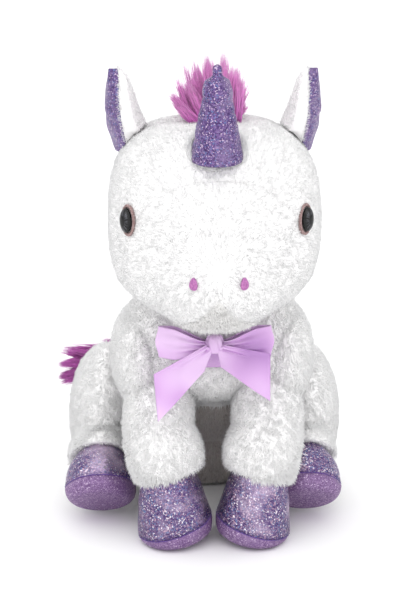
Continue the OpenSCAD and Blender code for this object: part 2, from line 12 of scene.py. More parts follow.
import bpy
import numpy as np
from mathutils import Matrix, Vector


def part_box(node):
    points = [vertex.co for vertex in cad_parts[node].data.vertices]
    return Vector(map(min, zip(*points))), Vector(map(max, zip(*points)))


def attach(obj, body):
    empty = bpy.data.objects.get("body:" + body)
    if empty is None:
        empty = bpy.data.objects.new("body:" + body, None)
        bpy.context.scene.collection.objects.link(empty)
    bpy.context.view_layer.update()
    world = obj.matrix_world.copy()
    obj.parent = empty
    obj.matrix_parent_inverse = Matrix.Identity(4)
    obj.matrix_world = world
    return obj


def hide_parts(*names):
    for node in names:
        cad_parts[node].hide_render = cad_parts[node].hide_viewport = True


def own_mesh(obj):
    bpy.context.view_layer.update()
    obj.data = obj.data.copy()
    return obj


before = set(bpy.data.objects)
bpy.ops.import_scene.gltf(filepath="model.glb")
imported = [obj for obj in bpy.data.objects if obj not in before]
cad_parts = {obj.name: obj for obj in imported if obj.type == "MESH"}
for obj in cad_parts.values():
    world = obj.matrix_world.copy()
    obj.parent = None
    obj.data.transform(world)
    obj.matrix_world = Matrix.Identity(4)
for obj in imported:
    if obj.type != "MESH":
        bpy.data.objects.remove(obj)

Array = np.ndarray
Comb = Callable[[Array], Array]

MM = 0.001
WELD = 0.02
FABRIC = 3.0
PILE_SINK = 2.0
HAIR_MAP = "OFBake"
CLOTH_MAP = "cloth_map"
FLOOR_GAP = 0.1
FAR = 1e3
# The backing cloth takes the hairs' darkest root colour: painted shade under the pile.
BACKING_SHADE_UV = (0.04, 0.02)
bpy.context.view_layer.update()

log = logging.getLogger("unicorn")


class Side(Enum):
    """The toy's own left and right."""

    LEFT = 1
    RIGHT = -1

    @property
    def word(self) -> str:
        """The side as it is written in a node's name."""
        return self.name.lower()

    def mirrored(self, points: Array) -> Array:
        """Points that were worked out on the left, moved to this side."""
        return points * np.array([self.value, 1.0, 1.0])


# ---- Vectors and noise ----

def vec(*values: float) -> Array:
    """A point or direction from its numbers."""
    return np.array(values, float)


def unit(v: Array) -> Array:
    """Vectors scaled to length one."""
    return v / np.maximum(np.linalg.norm(v, axis=-1, keepdims=True), 1e-9)


def turn_x(v: Array, degrees: float) -> Array:
    """Vectors turned about the X axis.

    Args:
        v: vectors in the last axis.
        degrees: the angle, right-handed.

    Returns:
        The turned vectors.
    """
    c, s = math.cos(math.radians(degrees)), math.sin(math.radians(degrees))
    return np.stack([v[..., 0], c * v[..., 1] - s * v[..., 2], s * v[..., 1] + c * v[..., 2]], -1)


def smooth(x: Array, start: float, end: float) -> Array:
    """A smooth step from 0 at start to 1 at end: three x squared less two x cubed.

    Args:
        x: the values.
        start: where the step begins.
        end: where it is complete.

    Returns:
        The share of the step at each value.
    """
    t = np.clip((x - start) / (end - start), 0, 1)
    return t * t * (3 - 2 * t)


def waves(points: Array, size: float, seed: int, count: int = 10) -> Array:
    """Soft noise: the sum of sine waves in seeded random directions, near -1 to 1.

    Args:
        points: places in millimetres.
        size: the length of a wave in millimetres.
        seed: picks the directions.
        count: how many waves are added.

    Returns:
        One value for each place.
    """
    rng = np.random.default_rng(seed)
    turns = unit(rng.normal(size=(count, 3))) * (2 * math.pi / size) * rng.uniform(0.7, 1.4, (count, 1))
    return np.sin(points @ turns.T + rng.uniform(0, 2 * math.pi, count)).sum(-1) / math.sqrt(2 * count)


def node_box(name: str) -> tuple[Array, Array]:
    """The lowest and highest corners of a frame node, in millimetres."""
    low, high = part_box(name)
    return np.array(low) / MM, np.array(high) / MM


# ---- Meshes ----

@dataclass
class Part:
    """A stretch of mesh: places in millimetres, faces of three or four corners, one UV pair a place."""

    points: Array
    faces: Array
    uv: Array
    joined: bool = False

    def outward(self) -> Array:
        """The faces, turned so that the closed form they make holds a positive volume."""
        p = self.points[self.faces]
        total = np.einsum("ij,ij->", p[:, 0], np.cross(p[:, 1], p[:, 2]))
        if self.faces.shape[1] == 4:
            total += np.einsum("ij,ij->", p[:, 0], np.cross(p[:, 2], p[:, 3]))
        return self.faces if total > 0 else self.faces[:, ::-1]


def welded(part: Part) -> tuple[Array, Array, Array, Array]:
    """Merges a part's coincident places, so that seams and poles close.

    Args:
        part: the part; one that says it is joined has nothing to merge.

    Returns:
        Its places, its corners in a row, the number of corners of each face, and a UV per corner.
    """
    faces = part.outward()
    if part.joined:
        sizes = np.full(len(faces), faces.shape[1])
        return part.points, faces.ravel(), sizes, part.uv[faces.ravel()]
    keys = np.round(part.points / WELD).astype(np.int64)
    _, first, index = np.unique(keys, axis=0, return_index=True, return_inverse=True)
    merged = index.reshape(-1)[faces]
    keep = merged != np.roll(merged, -1, axis=1)
    sizes = keep.sum(1)
    good = sizes >= 3
    keep = keep[good]
    return part.points[first], merged[good][keep], sizes[good], part.uv[faces[good][keep]]


def make_object(name: str, parts: Sequence[Part], look: "Finish",
                uv_map: str = CLOTH_MAP) -> bpy.types.Object:
    """Makes one mesh object, in metres, of several closed parts; what meets the floor is pressed flat.

    Args:
        name: the piece's name.
        parts: its parts, in millimetres.
        look: its finish.
        uv_map: the name of its UV map.

    Returns:
        The object, at the origin.
    """
    points, corners, sizes, uvs = [], [], [], []
    base = 0
    for part in parts:
        p, c, n, uv = welded(part)
        points.append(p)
        corners.append(c + base)
        sizes.append(n)
        uvs.append(uv)
        base += len(p)
    all_points, all_sizes = np.concatenate(points), np.concatenate(sizes)
    all_points[:, 2] = np.maximum(all_points[:, 2], FLOOR_GAP)
    mesh = bpy.data.meshes.new(name)
    mesh.vertices.add(len(all_points))
    mesh.vertices.foreach_set("co", (all_points * MM).astype(np.float32).ravel())
    mesh.loops.add(int(all_sizes.sum()))
    mesh.loops.foreach_set("vertex_index", np.concatenate(corners).astype(np.int32))
    mesh.polygons.add(len(all_sizes))
    starts = np.concatenate([[0], np.cumsum(all_sizes)[:-1]]).astype(np.int32)
    mesh.polygons.foreach_set("loop_start", starts)
    mesh.polygons.foreach_set("use_smooth", np.ones(len(all_sizes), bool))
    layer = mesh.uv_layers.new(name=uv_map)
    layer.data.foreach_set("uv", np.concatenate(uvs).astype(np.float32).ravel())
    mesh.materials.append(finish_of(look))
    mesh.update(calc_edges=True)
    mesh.validate()
    obj = bpy.data.objects.new(name, mesh)
    bpy.context.scene.collection.objects.link(obj)
    return obj


def quads(index: Array) -> Array:
    """The four-cornered faces between the places of an index grid."""
    return np.stack([index[:-1, :-1], index[:-1, 1:], index[1:, 1:], index[1:, :-1]], -1).reshape(-1, 4)


def grid_uv(rows: int, cols: int, span: tuple[float, float] = (1.0, 1.0)) -> Array:
    """UV pairs that run evenly over a grid: across its columns, then along its rows."""
    v, u = np.meshgrid(np.linspace(0, span[1], rows), np.linspace(0, span[0], cols), indexing="ij")
    return np.stack([u, v], -1)


def slab(outer: Array, inner: Array, wrap: bool = False, uv: Array | None = None) -> Part:
    """A closed sheet of some thickness between two grids, with its rims.

    Args:
        outer: the grid of the outer face, rows by columns by three.
        inner: the grid of the inner face, of the same shape.
        wrap: the columns run right round, so that only the first and last rows are rims.
        uv: UV pairs for the grid; both faces share them.

    Returns:
        The sheet.
    """
    rows, cols = outer.shape[:2]
    index = np.arange(rows * cols).reshape(rows, cols)
    if wrap:
        index = np.concatenate([index, index[:, :1]], 1)
        edges = [index[0], index[-1][::-1]]
    else:
        edges = [np.concatenate([index[0], index[1:, -1], index[-1, -2::-1], index[-2::-1, 0]])]
    size = rows * cols
    faces = [quads(index), quads(index)[:, ::-1] + size]
    faces += [np.stack([e[1:], e[:-1], e[:-1] + size, e[1:] + size], -1) for e in edges]
    places = np.concatenate([outer.reshape(-1, 3), inner.reshape(-1, 3)])
    pairs = (grid_uv(rows, cols) if uv is None else uv).reshape(-1, 2)
    return Part(places, np.concatenate(faces), np.concatenate([pairs, pairs]))


def ball(grid: Array, uv: Array | None = None) -> Part:
    """A closed form from a grid whose columns run right round and whose end rows shrink to poles."""
    rows, cols = grid.shape[:2]
    index = np.arange(rows * cols).reshape(rows, cols)
    pairs = (grid_uv(rows, cols) if uv is None else uv).reshape(-1, 2)
    return Part(grid.reshape(-1, 3), quads(np.concatenate([index, index[:, :1]], 1)), pairs)


def normals(grid: Array) -> Array:
    """The unit normals of a grid, from the cross product of its rows' and columns' directions."""
    return unit(np.cross(np.gradient(grid, axis=0), np.gradient(grid, axis=1)))


def sheet_of(grid: Array, thickness: float, uv: Array | None = None) -> Part:
    """A cloth sheet with its middle on a grid: half the thickness is laid on each side along the normals."""
    off = normals(grid) * thickness / 2
    return slab(grid + off, grid - off, uv=uv)


def poled(grid: Array) -> Array:
    """A grid whose first and last rows are drawn together to their middles, so that its ends close."""
    grid[0], grid[-1] = grid[0].mean(0), grid[-1].mean(0)
    return grid


def around(count: int) -> Array:
    """Evenly spaced angles of a full turn, in radians, without the last."""
    return 2 * math.pi * np.arange(count) / count


def turned(radii: Array, heights: Array, count: int) -> Array:
    """A surface of revolution about Z: each profile point's ring, as a grid of rings by angles."""
    a = around(count)
    r = np.broadcast_to(np.asarray(radii)[:, None], (len(radii), count))
    z = np.broadcast_to(np.asarray(heights)[:, None], (len(radii), count))
    return np.stack([r * np.cos(a), r * np.sin(a), z], -1)


# ---- Hair ----

def hairs(roots: Array, heads: Array, bends: Array, lengths: Array, width: float, segments: int,
          rng: np.random.Generator) -> Part:
    """Closed tapering hairs of three sides.

    A hair's middle line is its root, plus its length times (t times its heading plus t squared times its
    bend). Its section is a triangle whose radius is the width times (1 - t) to the power 0.6, and it ends
    in a point.

    Args:
        roots: where the hairs start.
        heads: their unit headings at the root.
        bends: how far each is carried aside at its tip, as a share of its length.
        lengths: one for each hair.
        width: the radius at the root.
        segments: how many stretches a hair has.
        rng: gives each hair its turn and its shade.

    Returns:
        All the hairs; in their UV, u is a hair's own shade and v runs from its root to its tip.
    """
    n = len(roots)
    t = np.arange(segments) / segments
    path = roots[:, None] + lengths[:, None, None] * (
        t[None, :, None] * heads[:, None] + (t ** 2)[None, :, None] * bends[:, None])
    tips = roots + lengths[:, None] * (heads + bends)
    across = unit(np.cross(heads, rng.normal(size=(n, 3))))
    up = np.cross(heads, across)
    a = around(3)
    spokes = across[:, None] * np.cos(a)[None, :, None] + up[:, None] * np.sin(a)[None, :, None]
    rings = path[:, :, None] + spokes[:, None] * (width * (1 - t) ** 0.6)[None, :, None, None]
    points = np.concatenate([rings.reshape(n, -1, 3), tips[:, None]], 1)
    k = np.arange(3)
    nxt = (k + 1) % 3
    faces = [[[2, 1, 0]]]
    for s in range(segments - 1):
        b = 3 * s
        faces.append(np.stack([b + k, b + nxt, b + 3 + nxt], -1))
        faces.append(np.stack([b + k, b + 3 + nxt, b + 3 + k], -1))
    last = 3 * (segments - 1)
    faces.append(np.stack([last + k, last + nxt, np.full(3, 3 * segments)], -1))
    one = np.concatenate(faces)
    size = 3 * segments + 1
    every = (one[None] + size * np.arange(n)[:, None, None]).reshape(-1, 3)
    shade = rng.uniform(0.06, 1.0, n)
    along = np.append(np.repeat(t, 3), 1.0)
    uv = np.stack(np.broadcast_arrays(shade[:, None], along[None]), -1).reshape(-1, 2)
    return Part(points.reshape(-1, 3), every, uv, joined=True)


@dataclass(frozen=True)
class Pile:
    """A cut pile: how thick, how long and how tidy its hairs are, in millimetres."""

    per_mm2: float = 1.0
    length: float = 4.4
    width: float = 0.36
    lean: float = 0.9
    stray: float = 0.3
    clump: float = 0.38
    clump_mm: float = 10.0
    segments: int = 1
    curl: float = 0.0

    def grow(self, grid: Array, middle: Array, comb: Comb, seed: int) -> Part:
        """Covers a grid with hairs.

        Hairs stand on the skin's normal, lean along the comb's direction, and are drawn together in clumps
        by soft noise that also makes them longer and shorter.

        Args:
            grid: the skin, rows by columns by three.
            middle: a point inside it.
            comb: gives the direction that hairs at some places are combed in.
            seed: makes the pile the same each time.

        Returns:
            The hairs.
        """
        rng = np.random.default_rng(seed)
        a, b, c, d = grid[:-1, :-1], grid[:-1, 1:], grid[1:, 1:], grid[1:, :-1]
        cross = np.cross(c - a, d - b).reshape(-1, 3)
        area = np.linalg.norm(cross, axis=1) / 2
        count = int(area.sum() * self.per_mm2)
        cell = rng.choice(len(area), count, p=area / area.sum())
        s, t = rng.random((2, count, 1))
        a, b, c, d = (x.reshape(-1, 3)[cell] for x in (a, b, c, d))
        roots = (a * (1 - s) + b * s) * (1 - t) + (d * (1 - s) + c * s) * t
        normal = unit(cross[cell])
        normal *= np.sign(np.sum(normal * (roots - middle), 1, keepdims=True))
        way = comb(roots)
        way = unit(way - normal * np.sum(way * normal, 1, keepdims=True))
        swirl = np.stack([waves(roots, self.clump_mm, seed + k) for k in (1, 2, 3)], -1)
        heads = unit(normal + self.lean * way + self.clump * swirl + self.stray * rng.normal(size=(count, 3)))
        inward = np.minimum(np.sum(heads * normal, 1, keepdims=True) - 0.25, 0)
        heads = unit(heads - inward * normal)
        uneven = 1 + 0.12 * waves(roots, self.clump_mm, seed + 4)
        length = self.length * uneven * rng.uniform(0.75, 1.1, count)
        bends = self.curl * unit(rng.normal(size=(count, 3)))
        return hairs(roots - 0.5 * normal, heads, bends, length, self.width, self.segments, rng)


BODY_PILE = Pile(clump=0.2, stray=0.22)
FACE_PILE = Pile(length=3.4, lean=1.1, clump=0.18, stray=0.22)
CHIN_PILE = Pile(per_mm2=1.1, length=4.6, lean=0.4, stray=0.5, clump=0.9, clump_mm=6, segments=2, curl=0.5)
EAR_PILE = Pile(length=3.0, lean=0.8, clump=0.3)
EDGE_PILE = Pile(per_mm2=3.6, length=4.2, lean=0.4, clump=0.3)
HEM_PILE = Pile(per_mm2=1.5, length=5.5, lean=1.6, segments=2)
CUFF_PILE = Pile(per_mm2=1.8, length=6.5, width=0.34, lean=1.6, stray=0.3, clump=0.35, segments=2)


def grow_locks(roots: Array, lock_roots: Array, lock_tips: Array, spread: float, width: float,
               rng: np.random.Generator) -> Part:
    """Long combed hair: each hair joins the lock whose root is nearest and runs to near that lock's tip.

    Args:
        roots: where the hairs start.
        lock_roots: where the locks start.
        lock_tips: where they end.
        spread: how far apart the tips of a lock's hairs lie.
        width: a hair's radius at its root.
        rng: makes the hair the same each time.

    Returns:
        The hairs.
    """
    gap = np.linalg.norm(roots[:, None] - lock_roots[None], axis=-1) + rng.uniform(0, 2.5, (len(roots), 1))
    own = gap.argmin(1)
    reach = rng.uniform(0.45, 1.0, (len(roots), 1)) ** 0.7
    tips = roots + (lock_tips[own] + rng.normal(size=(len(roots), 3)) * spread - roots) * reach
    away = tips - roots
    lengths = np.linalg.norm(away, axis=1)
    straight = unit(away)
    sway = 0.16 * unit(np.cross(straight, rng.normal(size=(len(roots), 3))))
    return hairs(roots, unit(straight - sway), straight - unit(straight - sway), lengths, width, 4, rng)


# ---- Skins of stuffed forms ----

@dataclass(frozen=True)
class Lobe:
    """An ellipsoid that swells a stuffed form: its centre, its radii and its tilt about X in degrees."""

    centre: tuple[float, float, float]
    radii: tuple[float, float, float]
    tilt: float = 0.0

    def reach(self, start: Array, d: Array) -> Array:
        """How far a ray from start along each d runs before it leaves the ellipsoid; 0 if it misses."""
        q = turn_x(start - vec(*self.centre), -self.tilt) / self.radii
        g = turn_x(d, -self.tilt) / self.radii
        gg, b = (g * g).sum(-1), (g * q).sum(-1)
        s = b * b - gg * ((q * q).sum(-1) - 1)
        return np.where(s <= 0, 0, np.maximum(0, (np.sqrt(np.maximum(s, 0)) - b) / gg))


def to_plane(start: Array, d: Array, normal: Array, point: Array) -> Array:
    """How far each ray runs before it crosses a plane with an outward normal; very far if it never does."""
    toward = d @ normal
    return np.where(toward <= 1e-6, FAR, ((point - start) @ normal) / np.maximum(toward, 1e-6))


def to_ball(start: Array, d: Array, centre: Array, radius: float) -> Array:
    """How far each ray from outside runs before it enters a ball; very far if it misses."""
    q = start - centre
    b = d @ q
    s = b * b - (q @ q - radius * radius)
    return np.where((s <= 0) | (b >= 0), FAR, -b - np.sqrt(np.maximum(s, 0)))


def blended(reaches: Sequence[Array], power: float = 12, scale: float = 60) -> Array:
    """The outermost of several reaches with soft joins: the root of their sum at a high power."""
    return scale * sum((r / scale) ** power for r in reaches) ** (1 / power)


@dataclass
class Skin:
    """A stuffed form as rays from its centre; rows count from a pole and columns round it."""

    centre: Array
    pole: Array
    across: Array
    up: Array
    rows: int
    cols: int

    def radius(self, d: Array) -> Array:
        """How far the skin lies from the centre along each unit direction."""
        raise NotImplementedError

    def on(self, p: Array, lift: float | Array = 0.0) -> Array:
        """The skin's point in line with p, raised by lift."""
        d = unit(p - self.centre)
        return self.centre + d * (self.radius(d) + lift)[..., None]

    def aim(self, i: Array, j: Array) -> Array:
        """The unit direction at row i and column j, which may be fractions."""
        a, b = (math.pi / self.rows * i)[..., None], (2 * math.pi / self.cols * j)[..., None]
        return self.pole * np.cos(a) + (self.across * np.cos(b) + self.up * np.sin(b)) * np.sin(a)

    def patch(self, rows: tuple[float, float], cols: tuple[float, float], fine: tuple[int, int],
              lift: float = 0.0, wrap: bool = False) -> Array:
        """A stretch of the skin as a grid.

        Args:
            rows: its first and last row.
            cols: its first and last column.
            fine: how many steps each row and each column is cut into.
            lift: how far it is raised along the rays.
            wrap: the columns run right round, so the last is left out.

        Returns:
            The grid.
        """
        ni = int(round((rows[1] - rows[0]) * fine[0])) + 1
        nj = int(round((cols[1] - cols[0]) * fine[1])) + 1
        j = np.linspace(*cols, nj)[: nj - 1 if wrap else nj]
        i, j = np.meshgrid(np.linspace(*rows, ni), j, indexing="ij")
        d = self.aim(i, j)
        return self.centre + d * (self.radius(d) + lift + self.rumple(d))[..., None]

    def rumple(self, d: Array) -> Array:
        """The soft unevenness of stuffing under cloth."""
        p = d * 80
        return 0.7 * waves(p, 26, 5) + 0.2 * waves(p, 9, 6)


@dataclass
class BoxySkin(Skin):
    """The head: a boxy ellipsoid blended with the muzzle, hollowed below for the neck's filling."""

    half_w: float
    half_d: float
    height: tuple[float, float]
    boxiness: float
    lobes: tuple[Lobe, ...]
    hollow: tuple[Array, float]

    def radius(self, d: Array) -> Array:
        """The blended outermost reach, cut short at the hollow."""
        high, low = self.height
        n = self.boxiness
        box = (np.abs(d[..., 0] / self.half_w) ** n + np.abs(d[..., 1] / self.half_d) ** n
               + np.abs(d[..., 2] / np.where(d[..., 2] > 0, high, low)) ** n) ** (-1 / n)
        out = blended([box] + [lobe.reach(self.centre, d) for lobe in self.lobes])
        return np.minimum(out, to_ball(self.centre, d, *self.hollow))


@dataclass
class LobedSkin(Skin):
    """A form swelled by lobes and cut flat by planes, each an outward normal and a point."""

    lobes: tuple[Lobe, ...]
    planes: tuple[tuple[Array, Array], ...] = ()
    hollow: tuple[Array, float] | None = None

    def radius(self, d: Array) -> Array:
        """The blended outermost reach, cut short at the planes and the hollow."""
        out = blended([lobe.reach(self.centre, d) for lobe in self.lobes])
        for normal, point in self.planes:
            out = np.minimum(out, to_plane(self.centre, d, normal, point))
        if self.hollow:
            out = np.minimum(out, to_ball(self.centre, d, *self.hollow))
        return out

    def on_side(self, side: Side) -> "LobedSkin":
        """This skin, set up for the toy's left, on the side that is asked for."""
        flip = side.mirrored
        lobes = tuple(Lobe(tuple(flip(vec(*b.centre))), b.radii, b.tilt) for b in self.lobes)
        planes = tuple((flip(n), flip(p)) for n, p in self.planes)
        return LobedSkin(flip(self.centre), self.pole, flip(self.across), self.up, self.rows, self.cols,
                         lobes, planes)


# ---- Finishes ----

def rgb(code: str) -> tuple[float, float, float, float]:
    """A linear colour from an sRGB hex code."""
    parts = [int(code[k:k + 2], 16) / 255 for k in (1, 3, 5)]
    return (*[c / 12.92 if c <= 0.04045 else ((c + 0.055) / 1.055) ** 2.4 for c in parts], 1.0)


def per_mm(size: float) -> float:
    """A texture's scale for a pattern of some size in millimetres on coordinates in metres."""
    return 1 / (size * MM)


def add(tree: bpy.types.NodeTree, kind: str, inputs: dict | None = None,
        **settings: object) -> bpy.types.Node:
    """Adds a node with its settings and its links.

    Args:
        tree: the material's nodes.
        kind: the node's type.
        inputs: a value, or another node's output, for each named or numbered input.
        settings: the node's own properties.

    Returns:
        The node.
    """
    node = tree.nodes.new(kind)
    for key, value in settings.items():
        setattr(node, key, value)
    for key, value in (inputs or {}).items():
        if isinstance(value, bpy.types.NodeSocket):
            tree.links.new(value, node.inputs[key])
        else:
            node.inputs[key].default_value = value
    return node


def new_material(name: str) -> tuple[bpy.types.Material, bpy.types.NodeTree]:
    """An empty node material with its output."""
    material = bpy.data.materials.new(name)
    material.use_nodes = True
    material.node_tree.nodes.clear()
    return material, material.node_tree


def ramp(tree: bpy.types.NodeTree, fac: bpy.types.NodeSocket, stops: Sequence[tuple[float, str]],
         interpolation: str = "LINEAR") -> bpy.types.NodeSocket:
    """The colours of some stops along a value.

    Args:
        tree: the material's nodes.
        fac: the value, from 0 to 1.
        stops: places with their sRGB codes.
        interpolation: how colours pass into each other.

    Returns:
        The colour.
    """
    node = add(tree, "ShaderNodeValToRGB", {"Fac": fac})
    node.color_ramp.interpolation = interpolation
    elements = node.color_ramp.elements
    while len(elements) < len(stops):
        elements.new(0.5)
    for element, (position, code) in zip(elements, stops):
        element.position = position
        element.color = rgb(code)
    return node.outputs["Color"]


def shade(tree: bpy.types.NodeTree, **inputs: object) -> None:
    """Ends a material with a principled shader; an input's underscores stand for spaces."""
    shader = add(tree, "ShaderNodeBsdfPrincipled", {k.replace("_", " "): v for k, v in inputs.items()})
    add(tree, "ShaderNodeOutputMaterial", {"Surface": shader.outputs["BSDF"]})


@dataclass(frozen=True)
class PolyesterPile:
    """Knitted polyester fur: soft, matt hairs whose roots are darkened with painted shade deep in the pile,
    with paler tips, each with its own tone.
    """

    name: str
    root: str
    tip: str
    variety: float = 0.03
    sheen: float = 0.3

    def material(self) -> bpy.types.Material:
        """Colour runs along each hair from a root colour darkened with painted shade to its tip, and the
        hair's own tone makes it lighter or darker.
        """
        material, tree = new_material(self.name)
        uv = add(tree, "ShaderNodeUVMap", uv_map=HAIR_MAP)
        split = add(tree, "ShaderNodeSeparateXYZ", {0: uv.outputs[0]})
        # Painted shade: the root end of each hair is darker than its tip.
        along = ramp(tree, split.outputs["Y"], [(0.0, self.root), (0.7, self.tip)])
        light = add(tree, "ShaderNodeMapRange", {
            "Value": split.outputs["X"], "To Min": 1 - self.variety, "To Max": 1 + self.variety})
        colour = add(tree, "ShaderNodeVectorMath", {0: along, 1: light.outputs[0]}, operation="MULTIPLY")
        shade(tree, Base_Color=colour.outputs[0], Roughness=0.85, Sheen_Weight=self.sheen,
              Sheen_Roughness=0.5, Specular_IOR_Level=0.2)
        return material


@dataclass(frozen=True)
class GlitterLame:
    """Polyester cloth laminated with hexagonal holographic flakes, which tilt every way and so sparkle.

    The flakes are really 0.2 to 0.4 mm wide; flake is coarser, so that single ones can be seen.
    """

    name: str
    stops: tuple[tuple[float, str], ...]
    flake: float = 0.85
    tilt: float = 0.55
    metal: float = 0.75
    rough: float = 0.32
    zone: float = 26.0
    highlight_zone_colour: str = "#E9D3EA"
    highlight_zone_amount: float = 0.5

    def material(self) -> bpy.types.Material:
        """Each flake has its own colour and tilt, and broad noise zones of the cloth are mixed toward a paler
        colour: a painted highlight.
        """
        material, tree = new_material(self.name)
        where = add(tree, "ShaderNodeTexCoord").outputs["Object"]
        flakes = add(tree, "ShaderNodeTexVoronoi", {"Vector": where, "Scale": per_mm(self.flake)})
        split = add(tree, "ShaderNodeSeparateColor", {0: flakes.outputs["Color"]})
        own = ramp(tree, split.outputs[0], self.stops, "CONSTANT")
        broad = add(tree, "ShaderNodeTexNoise", {"Vector": where, "Scale": per_mm(self.zone), "Detail": 2.0})
        # Painted highlight: broad noise zones are mixed toward the zone colour.
        painted_highlight_mask = add(tree, "ShaderNodeMapRange", {
            "Value": broad.outputs[0], "From Min": 0.5, "From Max": 0.72, "To Max": self.highlight_zone_amount})
        mixed = add(tree, "ShaderNodeMixRGB", {"Fac": painted_highlight_mask.outputs[0], 1: own, 2: rgb(self.highlight_zone_colour)})
        lean = add(tree, "ShaderNodeVectorMath", {
            0: flakes.outputs["Color"], 1: (self.tilt,) * 3, 2: (-self.tilt / 2,) * 3},
            operation="MULTIPLY_ADD")
        normal = add(tree, "ShaderNodeNewGeometry").outputs["Normal"]
        tilted = add(tree, "ShaderNodeVectorMath", {0: lean.outputs[0], 1: normal}, operation="ADD")
        facing = add(tree, "ShaderNodeVectorMath", {0: tilted.outputs[0]}, operation="NORMALIZE")
        shade(tree, Base_Color=mixed.outputs[0], Metallic=self.metal, Roughness=self.rough,
              Normal=facing.outputs[0])
        return material


@dataclass(frozen=True)
class SatinWeave:
    """Woven polyester satin: long floating threads give a soft streaked gloss along the ribbon."""

    name: str
    light: str
    middle: str
    dark: str
    thread: float = 0.9

    def material(self) -> bpy.types.Material:
        """Fine ribs along the ribbon, with slow noise that mixes painted highlights and painted fold shade
        into its colour; the threads are drawn coarser than real.
        """
        material, tree = new_material(self.name)
        uv = add(tree, "ShaderNodeUVMap", uv_map=CLOTH_MAP).outputs[0]
        where = add(tree, "ShaderNodeTexCoord").outputs["Object"]
        painted_sheen_noise = add(tree, "ShaderNodeTexNoise", {"Vector": where, "Scale": per_mm(30), "Detail": 0.0})
        # Painted highlight and painted shade: noise mixes the light and dark colours over the ribbon.
        colour = ramp(tree, painted_sheen_noise.outputs[0], [(0.25, self.dark), (0.5, self.middle), (0.75, self.light)])
        ribs = add(tree, "ShaderNodeTexWave", {"Vector": uv, "Scale": 24 / self.thread, "Distortion": 0.4},
                   bands_direction="X")
        bump = add(tree, "ShaderNodeBump", {
            "Height": ribs.outputs["Color"], "Strength": 0.08, "Distance": 0.0002})
        shade(tree, Base_Color=colour, Roughness=0.26, Sheen_Weight=0.3, Sheen_Roughness=0.3,
              Specular_IOR_Level=0.6, Anisotropic=0.5, Normal=bump.outputs[0])
        return material


@dataclass(frozen=True)
class MouldedPlastic:
    """Injection-moulded plastic, with the faint unevenness of its mould."""

    name: str
    colour: str
    rough: float
    coat: float = 0.0
    streaks: bool = False

    def material(self) -> bpy.types.Material:
        """A plain plastic, or an eye with an iris of pale streaks that run out from its centre."""
        material, tree = new_material(self.name)
        where = add(tree, "ShaderNodeTexCoord").outputs["Object"]
        fine = add(tree, "ShaderNodeTexNoise", {"Vector": where, "Scale": per_mm(3.0)})
        bump = add(tree, "ShaderNodeBump", {"Height": fine.outputs[0], "Strength": 0.03, "Distance": 0.0005})
        colour: object = ramp(tree, fine.outputs[0], [(0.3, self.colour), (0.7, self.colour)])
        if self.streaks:
            uv = add(tree, "ShaderNodeUVMap", uv_map=CLOTH_MAP)
            wide = add(tree, "ShaderNodeVectorMath", {0: uv.outputs[0], 1: (46.0, 1.6, 0.0)},
                       operation="MULTIPLY")
            rays = add(tree, "ShaderNodeTexNoise", {"Vector": wide.outputs[0], "Scale": 1.0, "Detail": 1.0})
            split = add(tree, "ShaderNodeSeparateXYZ", {0: uv.outputs[0]})
            band = ramp(tree, split.outputs["Y"], [(0.3, "#000000"), (0.45, "#FFFFFF"), (0.66, "#FFFFFF"),
                                                   (0.74, "#000000")])
            streak = ramp(tree, rays.outputs[0], [(0.5, self.colour), (0.66, "#6A6A72")])
            colour = add(tree, "ShaderNodeMixRGB", {"Fac": band, 1: rgb(self.colour), 2: streak}).outputs[0]
        shade(tree, Base_Color=colour, Roughness=self.rough, Coat_Weight=self.coat, Coat_Roughness=0.04,
              Specular_IOR_Level=0.3, Normal=bump.outputs[0])
        return material


@dataclass(frozen=True)
class TwistedThread:
    """Polyester sewing or embroidery thread, twisted, with a slight gloss."""

    name: str
    colour: str
    dark: str

    def material(self) -> bpy.types.Material:
        """Fine light and dark turns of the twist."""
        material, tree = new_material(self.name)
        where = add(tree, "ShaderNodeTexCoord").outputs["Object"]
        twist = add(tree, "ShaderNodeTexNoise", {"Vector": where, "Scale": per_mm(0.8), "Detail": 2.0})
        colour = ramp(tree, twist.outputs[0], [(0.35, self.dark), (0.6, self.colour)])
        bump = add(tree, "ShaderNodeBump", {"Height": twist.outputs[0], "Strength": 0.3, "Distance": 0.0003})
        shade(tree, Base_Color=colour, Roughness=0.5, Sheen_Weight=0.2, Normal=bump.outputs[0])
        return material


Finish = PolyesterPile | GlitterLame | SatinWeave | MouldedPlastic | TwistedThread

# Each pile finish runs from a root colour darkened with painted shade to its tip colour.
WHITE_PLUSH = PolyesterPile("white_polyester_plush", "#FBFAFA", "#FEFEFE")
CURLY_PLUSH = PolyesterPile("curly_polyester_plush", "#F2F1F0", "#FBFAF9", 0.05)
# The belly's grey is painted shade: it stands for the shadow between the front legs on white plush.
SHADED_BELLY_PLUSH = PolyesterPile("grey_polyester_plush", "#C2BAB6", "#D6D0CC", 0.05)
MANE_PILE = PolyesterPile("combed_mane_fibre", "#C25CB4", "#E58FD4", 0.22, 0.4)
TAIL_PILE = PolyesterPile("combed_tail_fibre", "#8E2E86", "#C965BE", 0.26, 0.3)
FIBREFILL = PolyesterPile("loose_fibre_filling", "#E2E0DC", "#F2F1EE", 0.08)
